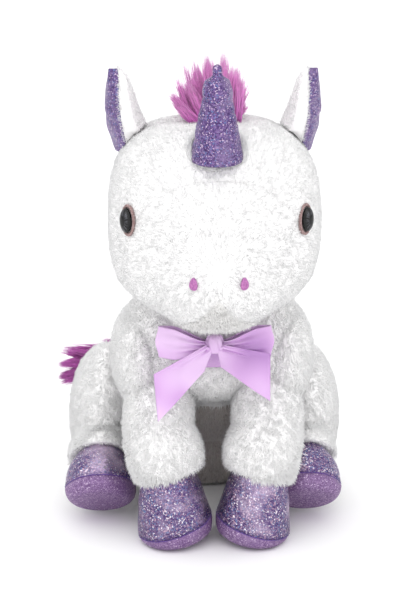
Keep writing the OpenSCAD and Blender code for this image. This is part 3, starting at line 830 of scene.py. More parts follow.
# The zone colours of the lamés are painted highlights.
GLITTER = GlitterLame("glitter_lame", (
    (0.0, "#4B3869"), (0.18, "#5F4A79"), (0.40, "#766289"), (0.62, "#8D7C9A"), (0.76, "#60739E"),
    (0.86, "#B393A8"), (0.95, "#E6DFE8")))
SOLE_GLITTER = GlitterLame("matt_glitter_lame", (
    (0.0, "#6A4B7B"), (0.2, "#7A5C8A"), (0.5, "#8A6D98"), (0.8, "#9C81A8"), (0.95, "#C4AFCC")),
    0.8, 0.25, 0.4, 0.48, 30.0, "#937AA1", 0.4)
HORN_GLITTER = GlitterLame("fine_glitter_lame", (
    (0.0, "#463263"), (0.2, "#5D467C"), (0.45, "#73598F"), (0.7, "#8A739F"), (0.85, "#6673A4"),
    (0.93, "#C9B4CE")), 0.8, 0.5, 0.65, 0.4, 16.0, "#9C8AAC", 0.5)
# The light colour is a painted highlight and the dark one painted shade of the folds.
SATIN = SatinWeave("lilac_polyester_satin", "#E3C2EA", "#D2A6DC", "#B485C4")
EYE_PLASTIC = MouldedPlastic("gloss_black_acrylic", "#030304", 0.16, 0.2, True)
WASHER_PLASTIC = MouldedPlastic("grey_moulded_nylon", "#8D8D90", 0.45)
RIM_THREAD = TwistedThread("brown_pink_thread", "#A58886", "#6E5352")
NOSTRIL_THREAD = TwistedThread("magenta_embroidery_thread", "#BC74B0", "#8A4388")
SEAM_THREAD = TwistedThread("violet_sewing_thread", "#6A479A", "#3E2468")
BEAN_CLOTH = TwistedThread("unbleached_cotton", "#D8C9A8", "#BFAE8A")

MADE: dict[str, bpy.types.Material] = {}


def finish_of(look: Finish) -> bpy.types.Material:
    """The material of a finish, made the first time that it is asked for."""
    if look.name not in MADE:
        MADE[look.name] = look.material()
    return MADE[look.name]


def place(obj: bpy.types.Object, body: str, slot: str, *nodes: str) -> bpy.types.Object:
    """Gives a piece its body and hides the frame nodes that it stands for."""
    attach(obj, body)
    if nodes:
        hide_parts(*nodes)
    log.info("%s rides on %s, %d faces", obj.name, body, len(obj.data.polygons))
    return obj


def down_comb(p: Array) -> Array:
    """Hair that is combed down and a little backward."""
    return np.broadcast_to(vec(0, 0.15, -1), p.shape)


def up_comb(p: Array) -> Array:
    """Hair that is combed the opposite way."""
    return -down_comb(p)


def toe_comb(p: Array) -> Array:
    """Hair that is combed forward and down over a hind hoof."""
    return np.broadcast_to(vec(0, -1, -0.6), p.shape)


@dataclass
class FurPanel:
    """One sewn panel of fur cloth over a skin: its rows and columns, its pile and what it stands for."""

    name: str
    rows: tuple[float, float]
    cols: tuple[float, float]
    nodes: tuple[str, ...]
    pile: Pile = BODY_PILE
    look: PolyesterPile = WHITE_PLUSH
    slot: str = "white_plush"
    wrap: bool = False
    seed: int = 1

    def make(self, skin: Skin, body: str, comb: Comb, fine: tuple[int, int],
             more: Sequence[Part] = ()) -> bpy.types.Object:
        """Makes the panel: backing cloth as thick as the fabric, sunk under the pile, with its hairs.

        Args:
            skin: the stuffed form that it covers.
            body: the body that it rides on.
            comb: the way that its hair is combed.
            fine: steps in each row and column.
            more: other parts of the piece, such as a cuff.

        Returns:
            The piece.
        """
        outer = skin.patch(self.rows, self.cols, fine, -PILE_SINK, self.wrap)
        inner = skin.patch(self.rows, self.cols, fine, -PILE_SINK - FABRIC, self.wrap)
        backing = slab(outer, inner, self.wrap, grid_uv(*outer.shape[:2], BACKING_SHADE_UV))
        ring = np.concatenate([outer, outer[:, :1]], 1) if self.wrap else outer
        hair = self.pile.grow(ring, skin.centre, comb, self.seed)
        obj = make_object(self.name, [backing, hair, *more], self.look, HAIR_MAP)
        return place(obj, body, self.slot, *self.nodes)


# ---- The head ----

@dataclass
class Head:
    """The stuffed head with its five panels, its horn, mane, eyes and nostrils."""

    half_w: float = 81
    half_d: float = 75
    height: tuple[float, float] = (80, 66)
    boxiness: float = 2.9
    muzzle_radii: tuple[float, float, float] = (54, 64, 44)
    muzzle_off: tuple[float, float, float] = (0, -38, -29)
    mouth_drop: float = 20
    hollow_r: float = 32
    rows: int = 24
    cols: int = 32
    muzzle_edge: float = 7
    gusset_half: float = 3
    chin: tuple[float, float] = (21, 27)
    eye_off: tuple[float, float, float] = (60, -53, 12)
    eye_r: float = 9
    eye_squeeze: float = 0.58
    nostril_off: tuple[float, float, float] = (17.5, -94, -24)
    centre: Array = field(init=False)
    skin: BoxySkin = field(init=False)

    def __post_init__(self) -> None:
        """Finds the head's centre from the filling's box and sets up its skin."""
        _, high = node_box("head_stuffing")
        self.centre = vec(0, high[1] + FABRIC - self.half_d, high[2] + FABRIC - self.height[0])
        low, top = node_box("neck_wad")
        muzzle = Lobe(tuple(self.centre + self.muzzle_off), self.muzzle_radii)
        self.skin = BoxySkin(
            self.centre, turn_x(vec(0, -1, 0), self.mouth_drop), vec(1, 0, 0),
            turn_x(vec(0, 0, 1), self.mouth_drop), self.rows, self.cols,
            self.half_w, self.half_d, self.height, self.boxiness, (muzzle,), ((low + top) / 2, self.hollow_r))

    def comb(self, p: Array) -> Array:
        """The face is combed away from the nose, and so back over the head and down the cheeks."""
        nose = self.centre + vec(0, -100, -20)
        return unit(p - nose) + vec(0, 0, -0.35)

    def panels(self) -> None:
        """Sews the two sides, the gusset, the muzzle and the chin."""
        quarter = self.cols / 4
        edge, last = self.muzzle_edge, self.rows
        g = self.gusset_half
        lo, hi = self.chin
        for panel in (
            FurPanel("head_side_left_plush", (edge, last), (-quarter, quarter - g),
                     ("head_side_left", "head_stuffing"), FACE_PILE, seed=11),
            FurPanel("head_side_right_plush", (edge, last), (quarter + g, 3 * quarter),
                     ("head_side_right",), FACE_PILE, seed=12),
            FurPanel("head_gusset_plush", (edge, last), (quarter - g, quarter + g),
                     ("head_gusset",), FACE_PILE, seed=13),
            FurPanel("muzzle_plush", (0, edge), (hi - self.cols, lo), ("muzzle_cover",), FACE_PILE, seed=14),
            FurPanel("chin_curls", (0, edge), (lo, hi), ("chin_panel",), CHIN_PILE, CURLY_PLUSH,
                     "curly_plush", seed=15),
        ):
            panel.make(self.skin, "head", self.comb, (5, 6))

    def tangents(self, p: Array) -> tuple[Array, Array, Array]:
        """The skin's own directions at a place.

        Args:
            p: a place on the skin.

        Returns:
            Across, up and outward, each one long.
        """
        across = unit(self.skin.on(p + vec(0, -5, 0)) - self.skin.on(p + vec(0, 5, 0)))
        upward = unit(self.skin.on(p + vec(0, 0, 5)) - self.skin.on(p - vec(0, 0, 5)))
        return across, upward, unit(np.cross(upward, across))

    def eye(self, side: Side) -> None:
        """Builds a domed eye and the stitched lid round it.

        The dome is a quarter ellipse turned about the skin's normal and squeezed by the fur at its sides to
        an oval. The lid is a ring on the skin between two ellipses, raised along its middle by a sine.
        """
        at = self.skin.on(self.centre + self.eye_off)
        across, upward, normal = self.tangents(at)
        a = around(64)
        rise = np.linspace(0, math.pi / 2, 14)
        radii = np.concatenate([[0, 2.5, 2.5, self.eye_r], self.eye_r * np.cos(rise)])
        depths = np.concatenate([[-12, -12, 0.4, 0.4], 1 + self.eye_r / 2 * np.sin(rise)])
        ring = self.eye_squeeze * across * np.cos(a)[:, None] + upward * np.sin(a)[:, None]
        dome = at + ring[None] * radii[:, None, None] + normal * depths[:, None, None]
        share = np.concatenate([np.zeros(4), np.linspace(0.02, 1, 14)])
        v, u = np.meshgrid(share, a / (2 * math.pi), indexing="ij")
        eye = make_object(f"eye_{side.word}_dome", [ball(side.mirrored(dome), np.stack([u, v], -1))],
                          EYE_PLASTIC)
        place(eye, "head", "eye_plastic", f"eye_{side.word}")
        shares = np.linspace(0, 1, 7)
        wide = self.eye_squeeze * self.eye_r + 0.2 + 1.2 * shares
        tall = self.eye_r + 0.2 + 2.6 * shares
        flat = (at + across * (wide[:, None] * np.cos(a))[..., None]
                + upward * (tall[:, None] * np.sin(a))[..., None])
        lift = 0.9 * np.sin(math.pi * shares)[:, None] + 0.12 * np.sin(26 * a)[None]
        top, back = self.skin.on(flat, lift), self.skin.on(flat, -2.2 + 0 * lift)
        lid = make_object(f"eye_rim_{side.word}_stitched", [
            slab(side.mirrored(top), side.mirrored(back), True)], RIM_THREAD)
        place(lid, "head", "rim_thread", f"eye_rim_{side.word}")

    def nostril(self, side: Side) -> None:
        """Embroiders a nostril: an upright teardrop, domed by a square root, ribbed by its threads."""
        at = self.centre + self.nostril_off
        a, s = around(48), np.linspace(0, 1, 10)
        taper = 1 - 0.25 * np.sin(a)
        x = 3.0 * s[:, None] * (np.cos(a) * taper)[None]
        z = 4.0 * s[:, None] * np.sin(a)[None]
        flat = at + vec(1, 0, 0) * x[..., None] + vec(0, 0, 1) * z[..., None]
        threads = 0.22 * np.cos(2 * math.pi * (x * 0.9 + z * 0.3) / 0.9)
        lift = 0.3 + 1.3 * np.sqrt(1 - s ** 2)[:, None] + threads * (1 - s[:, None])
        top, back = self.skin.on(flat, lift), self.skin.on(flat, -1.5 + 0 * lift)
        obj = make_object(f"nostril_{side.word}_embroidered", [
            slab(side.mirrored(top), side.mirrored(back), True)], NOSTRIL_THREAD)
        place(obj, "head", "nostril_thread", f"nostril_{side.word}")

    def washers(self) -> None:
        """Gives the washers behind the eyes their moulded plastic."""
        for side in Side:
            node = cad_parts[f"eye_washer_{side.word}"]
            node.data.materials.clear()
            node.data.materials.append(finish_of(WASHER_PLASTIC))

    def build(self) -> None:
        """Builds the head's panels, eyes and nostrils, and gives the washers their plastic."""
        self.panels()
        for side in Side:
            self.eye(side)
            self.nostril(side)
        self.washers()


@dataclass
class Horn:
    """The stuffed glitter horn: a soft cone with rolls, a rounded shoulder and a stub."""

    head: Head
    length: float = 64
    base_r: float = 18.5
    shoulder_r: float = 9.0
    stub_r: float = 3.3
    lean: float = 6
    foot_off: tuple[float, float, float] = (0, -54, 58)
    turns: int = 72
    shaft_end: float = 0.8
    stub_start: float = 0.885
    round_share: float = 0.035
    creases: tuple[float, ...] = (0.16, 0.3, 0.45, 0.6)
    crease_half: float = 0.018
    fray_hairs: int = 1500

    def radius(self, t: Array) -> Array:
        """Its radius at each share of its length: a narrowing cone, a waist, a bulge, then the stub."""
        shaft = self.base_r - (self.base_r - self.shoulder_r) * t / self.shaft_end
        shaft = shaft + 0.7 * np.exp(-(((t - 0.72) / 0.07) ** 2)) - 0.6 * np.exp(-(((t - 0.55) / 0.06) ** 2))
        rounding = np.sqrt(np.clip((1 - t) / self.round_share, 0, 1))
        narrowed = shaft + (self.stub_r - shaft) * smooth(t, self.shaft_end, self.stub_start)
        outline = np.where(t < self.shaft_end, shaft, np.maximum(self.stub_r * rounding, narrowed))
        return outline * np.where(t > 1 - self.round_share, rounding, 1)

    def grid(self) -> Array:
        """The horn's surface; soft creases run part of the way round it."""
        t = np.linspace(-0.1, 1, 72)
        a = around(self.turns)
        r = self.radius(np.maximum(t, 0))[:, None]
        for k, crease in enumerate(self.creases):
            bent = t[:, None] - crease - 0.03 * np.sin(a + 1.7 * k)[None]
            r = r - (0.6 - 0.4 * np.cos(a + 2.1 * k))[None] * np.exp(-((bent / self.crease_half) ** 2))
        ring = np.stack([r * np.cos(a), r * np.sin(a), self.length * t[:, None] + 0 * r], -1)
        ring = ring + 0.35 * waves(ring, 9, 31)[..., None] * unit(ring * vec(1, 1, 0))
        foot = self.head.skin.on(self.head.centre + self.foot_off)
        grid = turn_x(ring, self.lean) + foot
        top = np.broadcast_to(grid[-1].mean(0), grid[-1].shape)
        return np.concatenate([grid, top[None]])

    def build(self) -> None:
        """Makes the horn and a frayed collar of pile round its foot."""
        grid = self.grid()
        bottom = np.broadcast_to(grid[0].mean(0), grid[0].shape)
        obj = make_object("horn_glitter", [ball(np.concatenate([bottom[None], grid]))], HORN_GLITTER)
        place(obj, "head", "glitter_lame", "horn_cover", "horn_stuffing")
        rng = np.random.default_rng(41)
        count = self.fray_hairs
        a = rng.uniform(0, 2 * math.pi, count)
        foot = self.head.centre + self.foot_off
        out = np.stack([np.cos(a), np.sin(a), 0 * a], -1)
        rim = out * (self.base_r + rng.uniform(-0.5, 2.5, (count, 1)))
        roots = self.head.skin.on(foot + turn_x(rim, self.lean), -PILE_SINK)
        heads = unit(turn_x(vec(0, 0, 1) - 0.1 * out, self.lean) + 0.28 * rng.normal(size=(count, 3)))
        fray = hairs(roots, heads, 0 * heads, rng.uniform(5.0, 8.5, count), 0.34, 1, rng)
        place(make_object("horn_foot_fray", [fray], WHITE_PLUSH, HAIR_MAP), "head", "white_plush")


@dataclass
class Mane:
    """The tuft that stands behind the horn, and the low strip of mane down the back of the head."""

    head: Head
    tuft_rows: tuple[float, float] = (12.9, 16.4)
    strip_rows: tuple[float, float] = (16.6, 21.2)
    half_angle: float = 11
    tuft_angle: float = 14
    tuft_hairs: int = 8200
    strip_hairs: int = 2600
    tuft_locks: int = 64
    strip_locks: int = 46
    tuft_lift: float = 50

    def roots(self, rows: tuple[float, float], half_angle: float, count: int,
              rng: np.random.Generator) -> Array:
        """Random places in a strip of the head's skin over the crown.

        Args:
            rows: the skin's rows that the strip lies between.
            half_angle: how many degrees it reaches to each side.
            count: how many places.
            rng: makes them the same each time.

        Returns:
            The places.
        """
        i = rng.uniform(*rows, count)
        j = self.head.cols / 4 + rng.uniform(-1, 1, count) * half_angle * self.head.cols / 360
        d = self.head.skin.aim(i, j)
        return self.head.centre + d * (self.head.skin.radius(d) - PILE_SINK)[:, None]

    def tuft(self) -> Part:
        """Locks fan out like a star from behind the horn; they are longest near upright."""
        rng = np.random.default_rng(52)
        count = self.tuft_locks
        starts = self.roots(self.tuft_rows, self.tuft_angle, count, rng)
        starts = starts[np.argsort(starts[:, 0] + rng.normal(size=count) * 5)]
        fan = np.radians(np.linspace(-68, 66, count) + rng.uniform(-7, 7, count))
        reach = self.tuft_lift * (0.5 + 0.5 * np.cos(fan) ** 2) * rng.uniform(0.72, 1.0, count)
        back = rng.uniform(-0.12, 0.4, count)
        tips = starts + np.stack([np.sin(fan) * reach * 0.48 - 3, back * reach, np.cos(fan) * reach], -1)
        roots = self.roots(self.tuft_rows, self.tuft_angle, self.tuft_hairs, rng)
        return grow_locks(roots, starts, tips, 1.6, 0.4, rng)

    def strip(self) -> Part:
        """Shorter locks lie back and down over the head."""
        rng = np.random.default_rng(53)
        count = self.strip_locks
        starts = self.roots(self.strip_rows, self.half_angle, count, rng)
        out = unit(starts - self.head.centre)
        lay = unit(out + vec(0, 0.55, -0.75) + 0.45 * rng.normal(size=(count, 3)))
        tips = starts + lay * rng.uniform(12, 20, (count, 1))
        roots = self.roots(self.strip_rows, self.half_angle, self.strip_hairs, rng)
        return grow_locks(roots, starts, tips, 1.2, 0.42, rng)

    def build(self) -> None:
        """Makes the tuft and the strip."""
        tuft = make_object("mane_tuft_hair", [self.tuft()], MANE_PILE, HAIR_MAP)
        place(tuft, "head", "mane_pile", "mane_tuft")
        strip = make_object("mane_strip_hair", [self.strip()], MANE_PILE, HAIR_MAP)
        place(strip, "head", "mane_pile", "mane_strip")


@dataclass
class Ear:
    """A thick leaf of an ear: a glitter lining on its outer side and a rounded fur back."""

    head: Head
    side: Side
    length: float = 62
    width: float = 42
    turn: float = -14
    lean: float = 4
    hinge_off: tuple[float, float, float] = (74, 14, 52)
    lining: float = 1.2
    clear: float = 1.5
    leaf_share: float = 0.82
    rows: int = 56
    cols: int = 30
    edge_rows: int = 40

    def point(self, t: Array, w: Array, depth: Array) -> Array:
        """The leaf's surface.

        Its half width is a sine of the length to the power 0.65, so that the tip is round. It bows outward
        along its length and back at its edges, and is turned and leaned about its hinge, clear of the head.

        Args:
            t: the share of the length.
            w: the share of the half width, from -1 to 1.
            depth: how deep under the lining's face.

        Returns:
            Places on the toy's left side.
        """
        half = self.width / 2 * np.sin(math.pi * (0.22 + 0.775 * t)) ** 0.65
        bow = 5 * np.sin(math.pi * t) - 5 * w * w
        p = np.stack([bow - depth, half * w, self.length * t], -1)
        c, s = math.cos(math.radians(self.turn)), math.sin(math.radians(self.turn))
        p = np.stack([p[..., 0] * c - p[..., 1] * s, p[..., 0] * s + p[..., 1] * c, p[..., 2]], -1)
        c, s = math.cos(math.radians(self.lean)), math.sin(math.radians(self.lean))
        off = np.stack([p[..., 0] * c + p[..., 2] * s, p[..., 1], p[..., 2] * c], -1)
        at = self.head.centre + self.hinge_off + off
        d = unit(at - self.head.centre)
        far = np.linalg.norm(at - self.head.centre, axis=-1)
        floor = self.head.skin.radius(d) + self.clear - PILE_SINK + 0.05 * depth + 0.5 * t
        return self.head.centre + d * np.maximum(far, floor)[..., None]

    def thick(self, t: Array, w: Array) -> Array:
        """The stuffed back's thickness: most at the base and along the middle, and round at the tip."""
        return (15 + 20 * (1 - t) ** 1.1) * np.sqrt(1 - 0.88 * t ** 10) * (1 - 0.6 * w * w)

    def crease(self, t: Array, w: Array) -> Array:
        """Soft folds in the lining, one of them sharp, half-way up."""
        fold = 1.6 * np.exp(-(((t - 0.42 - 0.08 * w) / 0.035) ** 2)) * smooth(-w, -1.0, 0.5)
        return fold + 0.5 * waves(np.stack([t * 60, w * 20, 0 * t], -1), 16, 61)

    def build(self) -> None:
        """Makes the lining and the fur back."""
        t, w = np.meshgrid(np.linspace(0, 1, self.rows), np.linspace(-1, 1, self.cols), indexing="ij")
        rim = 0.6 * np.abs(w) ** 6
        folds = self.crease(t, w) * (1 - w ** 4)
        face = self.point(t, w, rim + folds)
        under = self.point(t, w, self.lining + folds + 0.2)
        lining = make_object(f"ear_lining_{self.side.word}_glitter",
                             [slab(self.side.mirrored(face), self.side.mirrored(under))], HORN_GLITTER)
        body = f"ear_{self.side.word}"
        f"ear_back_{self.side.word}"
        place(lining, body, "glitter_lame", f"ear_lining_{self.side.word}")
        front = self.point(t, w, self.lining + 0.4 + folds)
        back = self.point(t, w, self.lining + 0.4 + np.maximum(self.thick(t, w), 1.5) - 1.0)
        mirrored_middle = self.side.mirrored(self.point(vec(0.4), vec(0.0), vec(8.0))[0])
        mirrored_back = self.side.mirrored(back)
        seed = 71 + self.side.value
        hair = EAR_PILE.grow(mirrored_back, mirrored_middle, up_comb, seed)
        edge_t = np.linspace(0.0, 1.0, self.edge_rows)
        backing = slab(self.side.mirrored(front), mirrored_back, uv=grid_uv(self.rows, self.cols, BACKING_SHADE_UV))
        parts = [backing, hair]
        for w_edge in (-1.0, 1.0):
            edge_grid = np.meshgrid(edge_t, [w_edge, 0.93 * w_edge], indexing="ij")
            strip = self.point(*edge_grid, np.full((self.edge_rows, 2), 2.4))
            parts.append(EDGE_PILE.grow(self.side.mirrored(strip), mirrored_middle, up_comb, seed + 5))
        obj = make_object(f"ear_back_{self.side.word}_plush", parts, WHITE_PLUSH, HAIR_MAP)
        place(obj, body, "white_plush", f"ear_back_{self.side.word}")


# ---- The body ----

@dataclass
class Torso:
    """The stuffed body with its panels, its flat seat and the pouch of beans that weights it."""

    centre: tuple[float, float, float] = (0, -76, 100)
    hips: Lobe = Lobe((0, -14, 62), (76, 67, 80))
    barrel: Lobe = Lobe((0, -72, 108), (66, 60, 58))
    chest: Lobe = Lobe((0, -133, 144), (62, 40, 40))
    neck: Lobe = Lobe((0, -131, 170), (68, 44, 38))
    shoulder_off: float = 42
    shoulder_radii: tuple[float, float, float] = (33, 38, 39)
    tilt: float = 36
    hollow_r: float = 32
    rows: int = 20
    cols: int = 32
    chest_half: float = 4
    back_half: float = 3
    seat_row: float = 2
    belly_row: float = 13.5
    skin: LobedSkin = field(init=False)

    def __post_init__(self) -> None:
        """Sets up the skin: the body's lobes with a cap at each shoulder, flat where it sits."""
        low, high = node_box("neck_wad")
        caps = tuple(Lobe((k * self.shoulder_off, *self.chest.centre[1:]), self.shoulder_radii)
                     for k in (-1, 1))
        self.skin = LobedSkin(
            vec(*self.centre), turn_x(vec(0, 0, -1), self.tilt), vec(1, 0, 0),
            turn_x(vec(0, 1, 0), self.tilt), self.rows, self.cols,
            (self.hips, self.barrel, self.chest, self.neck, *caps),
            ((vec(0, 0, -1), vec(0, 0, PILE_SINK + 0.6)),), ((low + high) / 2, self.hollow_r))

    def panels(self) -> None:
        """Sews the chest, the belly under it in white fur greyed with painted shade, the two sides and the
        back.
        """
        quarter = self.cols / 4
        front = 3 * quarter
        chest_cols = (front - self.chest_half, front + self.chest_half)
        for panel in (
            FurPanel("chest_plush", (self.belly_row, self.rows), chest_cols,
                     ("chest_panel", "torso_stuffing"), seed=21),
            # The belly panel's fur is darkened with painted shade.
            FurPanel("belly_plush", (self.seat_row, self.belly_row), chest_cols, (),
                     look=SHADED_BELLY_PLUSH, seed=25),
            FurPanel("torso_side_left_plush", (self.seat_row, self.rows),
                     (self.chest_half - quarter, quarter - self.back_half), ("torso_side_left",), seed=22),
            FurPanel("torso_side_right_plush", (self.seat_row, self.rows),
                     (quarter + self.back_half, front - self.chest_half), ("torso_side_right",), seed=23),
            FurPanel("back_plush", (self.seat_row, self.rows),
                     (quarter - self.back_half, quarter + self.back_half), ("back_panel",), seed=24),
        ):
            panel.make(self.skin, "torso", down_comb, (5, 6))

    def seat(self) -> None:
        """The seat: a flat round panel of cloth with a rounded rim, turned about Z."""
        low, high = node_box("seat_panel")
        middle, r, h = (low + high) / 2, (high[0] - low[0]) / 2, high[2] - low[2]
        lap = np.linspace(-math.pi / 2, math.pi / 2, 9)
        radii = np.concatenate([[0, r / 3, r * 0.7], r - h / 2 + h / 2 * np.cos(lap), [r * 0.7, r / 3, 0]])
        heights = np.concatenate([[0, 0, 0], h / 2 + h / 2 * np.sin(lap), [h, h, h]])
        grid = turned(radii, heights, 96) + vec(middle[0], middle[1], low[2])
        obj = make_object("seat_cloth", [ball(grid, grid_uv(*grid.shape[:2], BACKING_SHADE_UV))],
                          WHITE_PLUSH, HAIR_MAP)
        place(obj, "torso", "white_plush", "seat_panel")

    def pouch(self) -> None:
        """The bean pouch: a flat cushion whose top is lumpy with beans."""
        low, high = node_box("bean_pouch")
        r, h = (high[0] - low[0]) / 2, high[2] - low[2]
        lap = np.linspace(-math.pi / 2, math.pi / 2, 13)
        radii = np.concatenate([[0, r / 2], r - h / 2 + h / 2 * np.cos(lap), [r * 0.75, r / 2, r / 4, 0]])
        heights = np.concatenate([[0, 0], h / 2 + h / 2 * np.sin(lap), [h, h, h, h]])
        grid = turned(radii, heights, 72) + vec((low[0] + high[0]) / 2, (low[1] + high[1]) / 2, low[2])
        lumps = (0.7 * np.abs(waves(grid, 7, 81)))[..., None] * vec(0, 0, -1)
        grid = grid + lumps * (grid[..., 2:] > low[2] + h / 2)
        grid[-1] = grid[-1].mean(0)
        obj = make_object("bean_pouch_cotton", [ball(grid)], BEAN_CLOTH)
        place(obj, "torso", "bean_pouch", "bean_pouch")

    def wad(self) -> None:
        """The loose ball of filling in the neck, uneven all over."""
        low, high = node_box("neck_wad")
        middle, r = (low + high) / 2, (high[0] - low[0]) / 2
        lat = np.linspace(0, math.pi, 36)
        grid = turned(r * np.sin(lat), -r * np.cos(lat), 64)
        d = unit(grid + 1e-9)
        grid = middle + grid - d * (1.0 + 0.8 * np.abs(waves(grid, 12, 91)))[..., None]
        obj = make_object("neck_filling", [ball(poled(grid), grid_uv(36, 64, (0.04, 1.0)))], FIBREFILL,
                          HAIR_MAP)
        place(obj, "neck", "polyester_filling", "neck_wad")

    def build(self) -> None:
        """Builds the body and what is inside it."""
        self.panels()
        self.seat()
        self.pouch()
        self.wad()


@dataclass
class Hoof:
    """A glitter hoof: a padded sole, an upper over filling, and the stitched seam between them."""

    name: str
    body: str
    radius: float
    height: float
    origin: Array
    tilt: float
    side: Side
    sole: float = 14
    seam_drop: float = 1.5
    seam_slope: float = 6.5
    pinch_depth: float = 0.8
    pinch_half: float = 1.6
    narrow: float = 0.25
    taper: float = 1.15
    shear: float = 0.75
    roll: float = 6.0
    edge: float = 9.0
    dome: float = 5.0
    turns: int = 96
    stitches: int = 46
    stitch_turn: float = 3.6

    def seam_height(self, a: Array) -> Array:
        """The seam's height round the hoof: higher on the inner side, and lowest outside."""
        return self.sole - self.seam_drop - self.seam_slope * np.cos(a)

    def ring(self, a: Array, z: Array, out: float = 0.0) -> Array:
        """The hoof's wall: a round that narrows to its top, pinched in at the seam.

        Its outer side stands upright, so that all of the narrowing is on its inner side, and its inner
        side is lifted off the floor by a square of the way across.

        Args:
            a: angles round the hoof, from the toy's outer side.
            z: heights over the sole.
            out: how far outside the wall.

        Returns:
            Places on the toy's left side.
        """
        above = np.clip((z - 0.3 * self.height) / (0.7 * self.height), 0, 1)
        below = np.clip((self.sole * 0.75 - z) / (self.sole * 0.75), 0, 1)
        rounded = self.edge * (1 - np.sqrt(np.clip(1 - below ** 2, 0, 1)))
        r = self.radius * (1 - self.narrow * above ** self.taper) - rounded
        r = r - self.pinch_depth * np.exp(-(((z - self.seam_height(a)) / self.pinch_half) ** 2))
        aside = self.shear * self.radius * self.narrow * above ** self.taper
        lift = self.roll * ((1 - np.cos(a)) / 2) ** 2 * (1 - z / self.height)
        p = np.stack([(r + out) * np.cos(a), (r + out) * np.sin(a), z + 0 * a], -1)
        soft = 0.45 * waves(p, 24, 101) + 0.25 * waves(p, 9, 102)
        p = p + unit(p * vec(1, 1, 0)) * (soft * smooth(z, 0, 6))[..., None]
        return p + np.stack([aside + 0 * a, 0 * a + 0 * z, lift], -1)

    def closed(self, wall: Array, rise: float, steps: int = 9) -> Array:
        """Rings that close the end of a wall with a dome: a quarter turn from its last ring to a pole."""
        turn = np.linspace(0, math.pi / 2, steps)[1:, None, None]
        middle = wall[-1].mean(0)
        rings = middle + (wall[-1] - middle)[None] * np.cos(turn) + vec(0, 0, rise) * np.sin(turn)
        rings[-1] = rings[-1].mean(0)
        return rings

    def stand(self, p: Array) -> Array:
        """Puts places of the upright hoof where the leg holds it, on its own side."""
        return self.side.mirrored(turn_x(p, -self.tilt) + self.origin)

    def build(self) -> None:
        """Makes the domed upper over its filling, the sole and the seam."""
        a = around(self.turns)
        seam = self.seam_height(a)
        t = np.linspace(0, 1, 40)[:, None]
        z = seam[None] + (self.height - seam[None]) * t
        wall = self.ring(a[None] + 0 * z, z)
        foot = np.stack([wall[0] * s + wall[0].mean(0) * (1 - s) for s in (0.0, 0.5)])
        grid = np.concatenate([foot, wall, self.closed(wall, self.dome)])
        upper = make_object(f"{self.name}_upper_glitter", [ball(self.stand(grid))], GLITTER)
        nodes = [self.name.replace("_hoof", "_hoof_upper"), self.name.replace("_hoof", "_hoof_stuffing")]
        place(upper, self.body, "glitter_lame", *nodes)
        z = seam[None] * np.linspace(0, 1, 24)[:, None] ** 1.3
        wall = self.ring(a[None] + 0 * z, z)
        under = [wall[0] * s + wall[0].mean(0) * (1 - s) for s in (0.0, 0.4, 0.8)]
        lid = [wall[-1] * s + wall[-1].mean(0) * (1 - s) for s in (0.6, 0.0)]
        grid = np.concatenate([np.stack(under), wall, np.stack(lid)])
        sole = make_object(f"{self.name}_sole_glitter", [ball(self.stand(grid))], SOLE_GLITTER)
        place(sole, self.body, "sole_lame", self.name.replace("_hoof", "_hoof_sole"))
        self.stitching()

    def stitching(self) -> None:
        """The seam: a round cord in the pinched wall, and a row of short raised stitches above it."""
        a = around(2 * self.turns)
        path = self.ring(a, self.seam_height(a), 0.2)
        out, up = unit(path * vec(1, 1, 0)), vec(0, 0, 1)
        b = around(8)[:, None, None]
        cord = path[None] + 0.45 * (out[None] * np.cos(b) + up * np.sin(b))
        index = np.arange(cord.shape[0] * cord.shape[1]).reshape(cord.shape[:2])
        index = np.concatenate([index, index[:1]], 0)
        index = np.concatenate([index, index[:, :1]], 1)
        tube = Part(self.stand(cord).reshape(-1, 3), quads(index), grid_uv(*cord.shape[:2]).reshape(-1, 2))
        k = around(self.stitches)
        start = self.ring(k, self.seam_height(k) + 1.5, 0.35)
        end = self.ring(k + self.stitch_turn / self.stitches, self.seam_height(k) + 1.5, 0.35)
        rng = np.random.default_rng(111)
        away = end - start
        stitch = hairs(start, unit(away), 0 * away, np.linalg.norm(away, axis=1), 0.42, 3, rng)
        stitch.points = self.stand(stitch.points)
        obj = make_object(f"{self.name}_seam", [tube, stitch], SEAM_THREAD)
        place(obj, self.body, "glitter_lame")


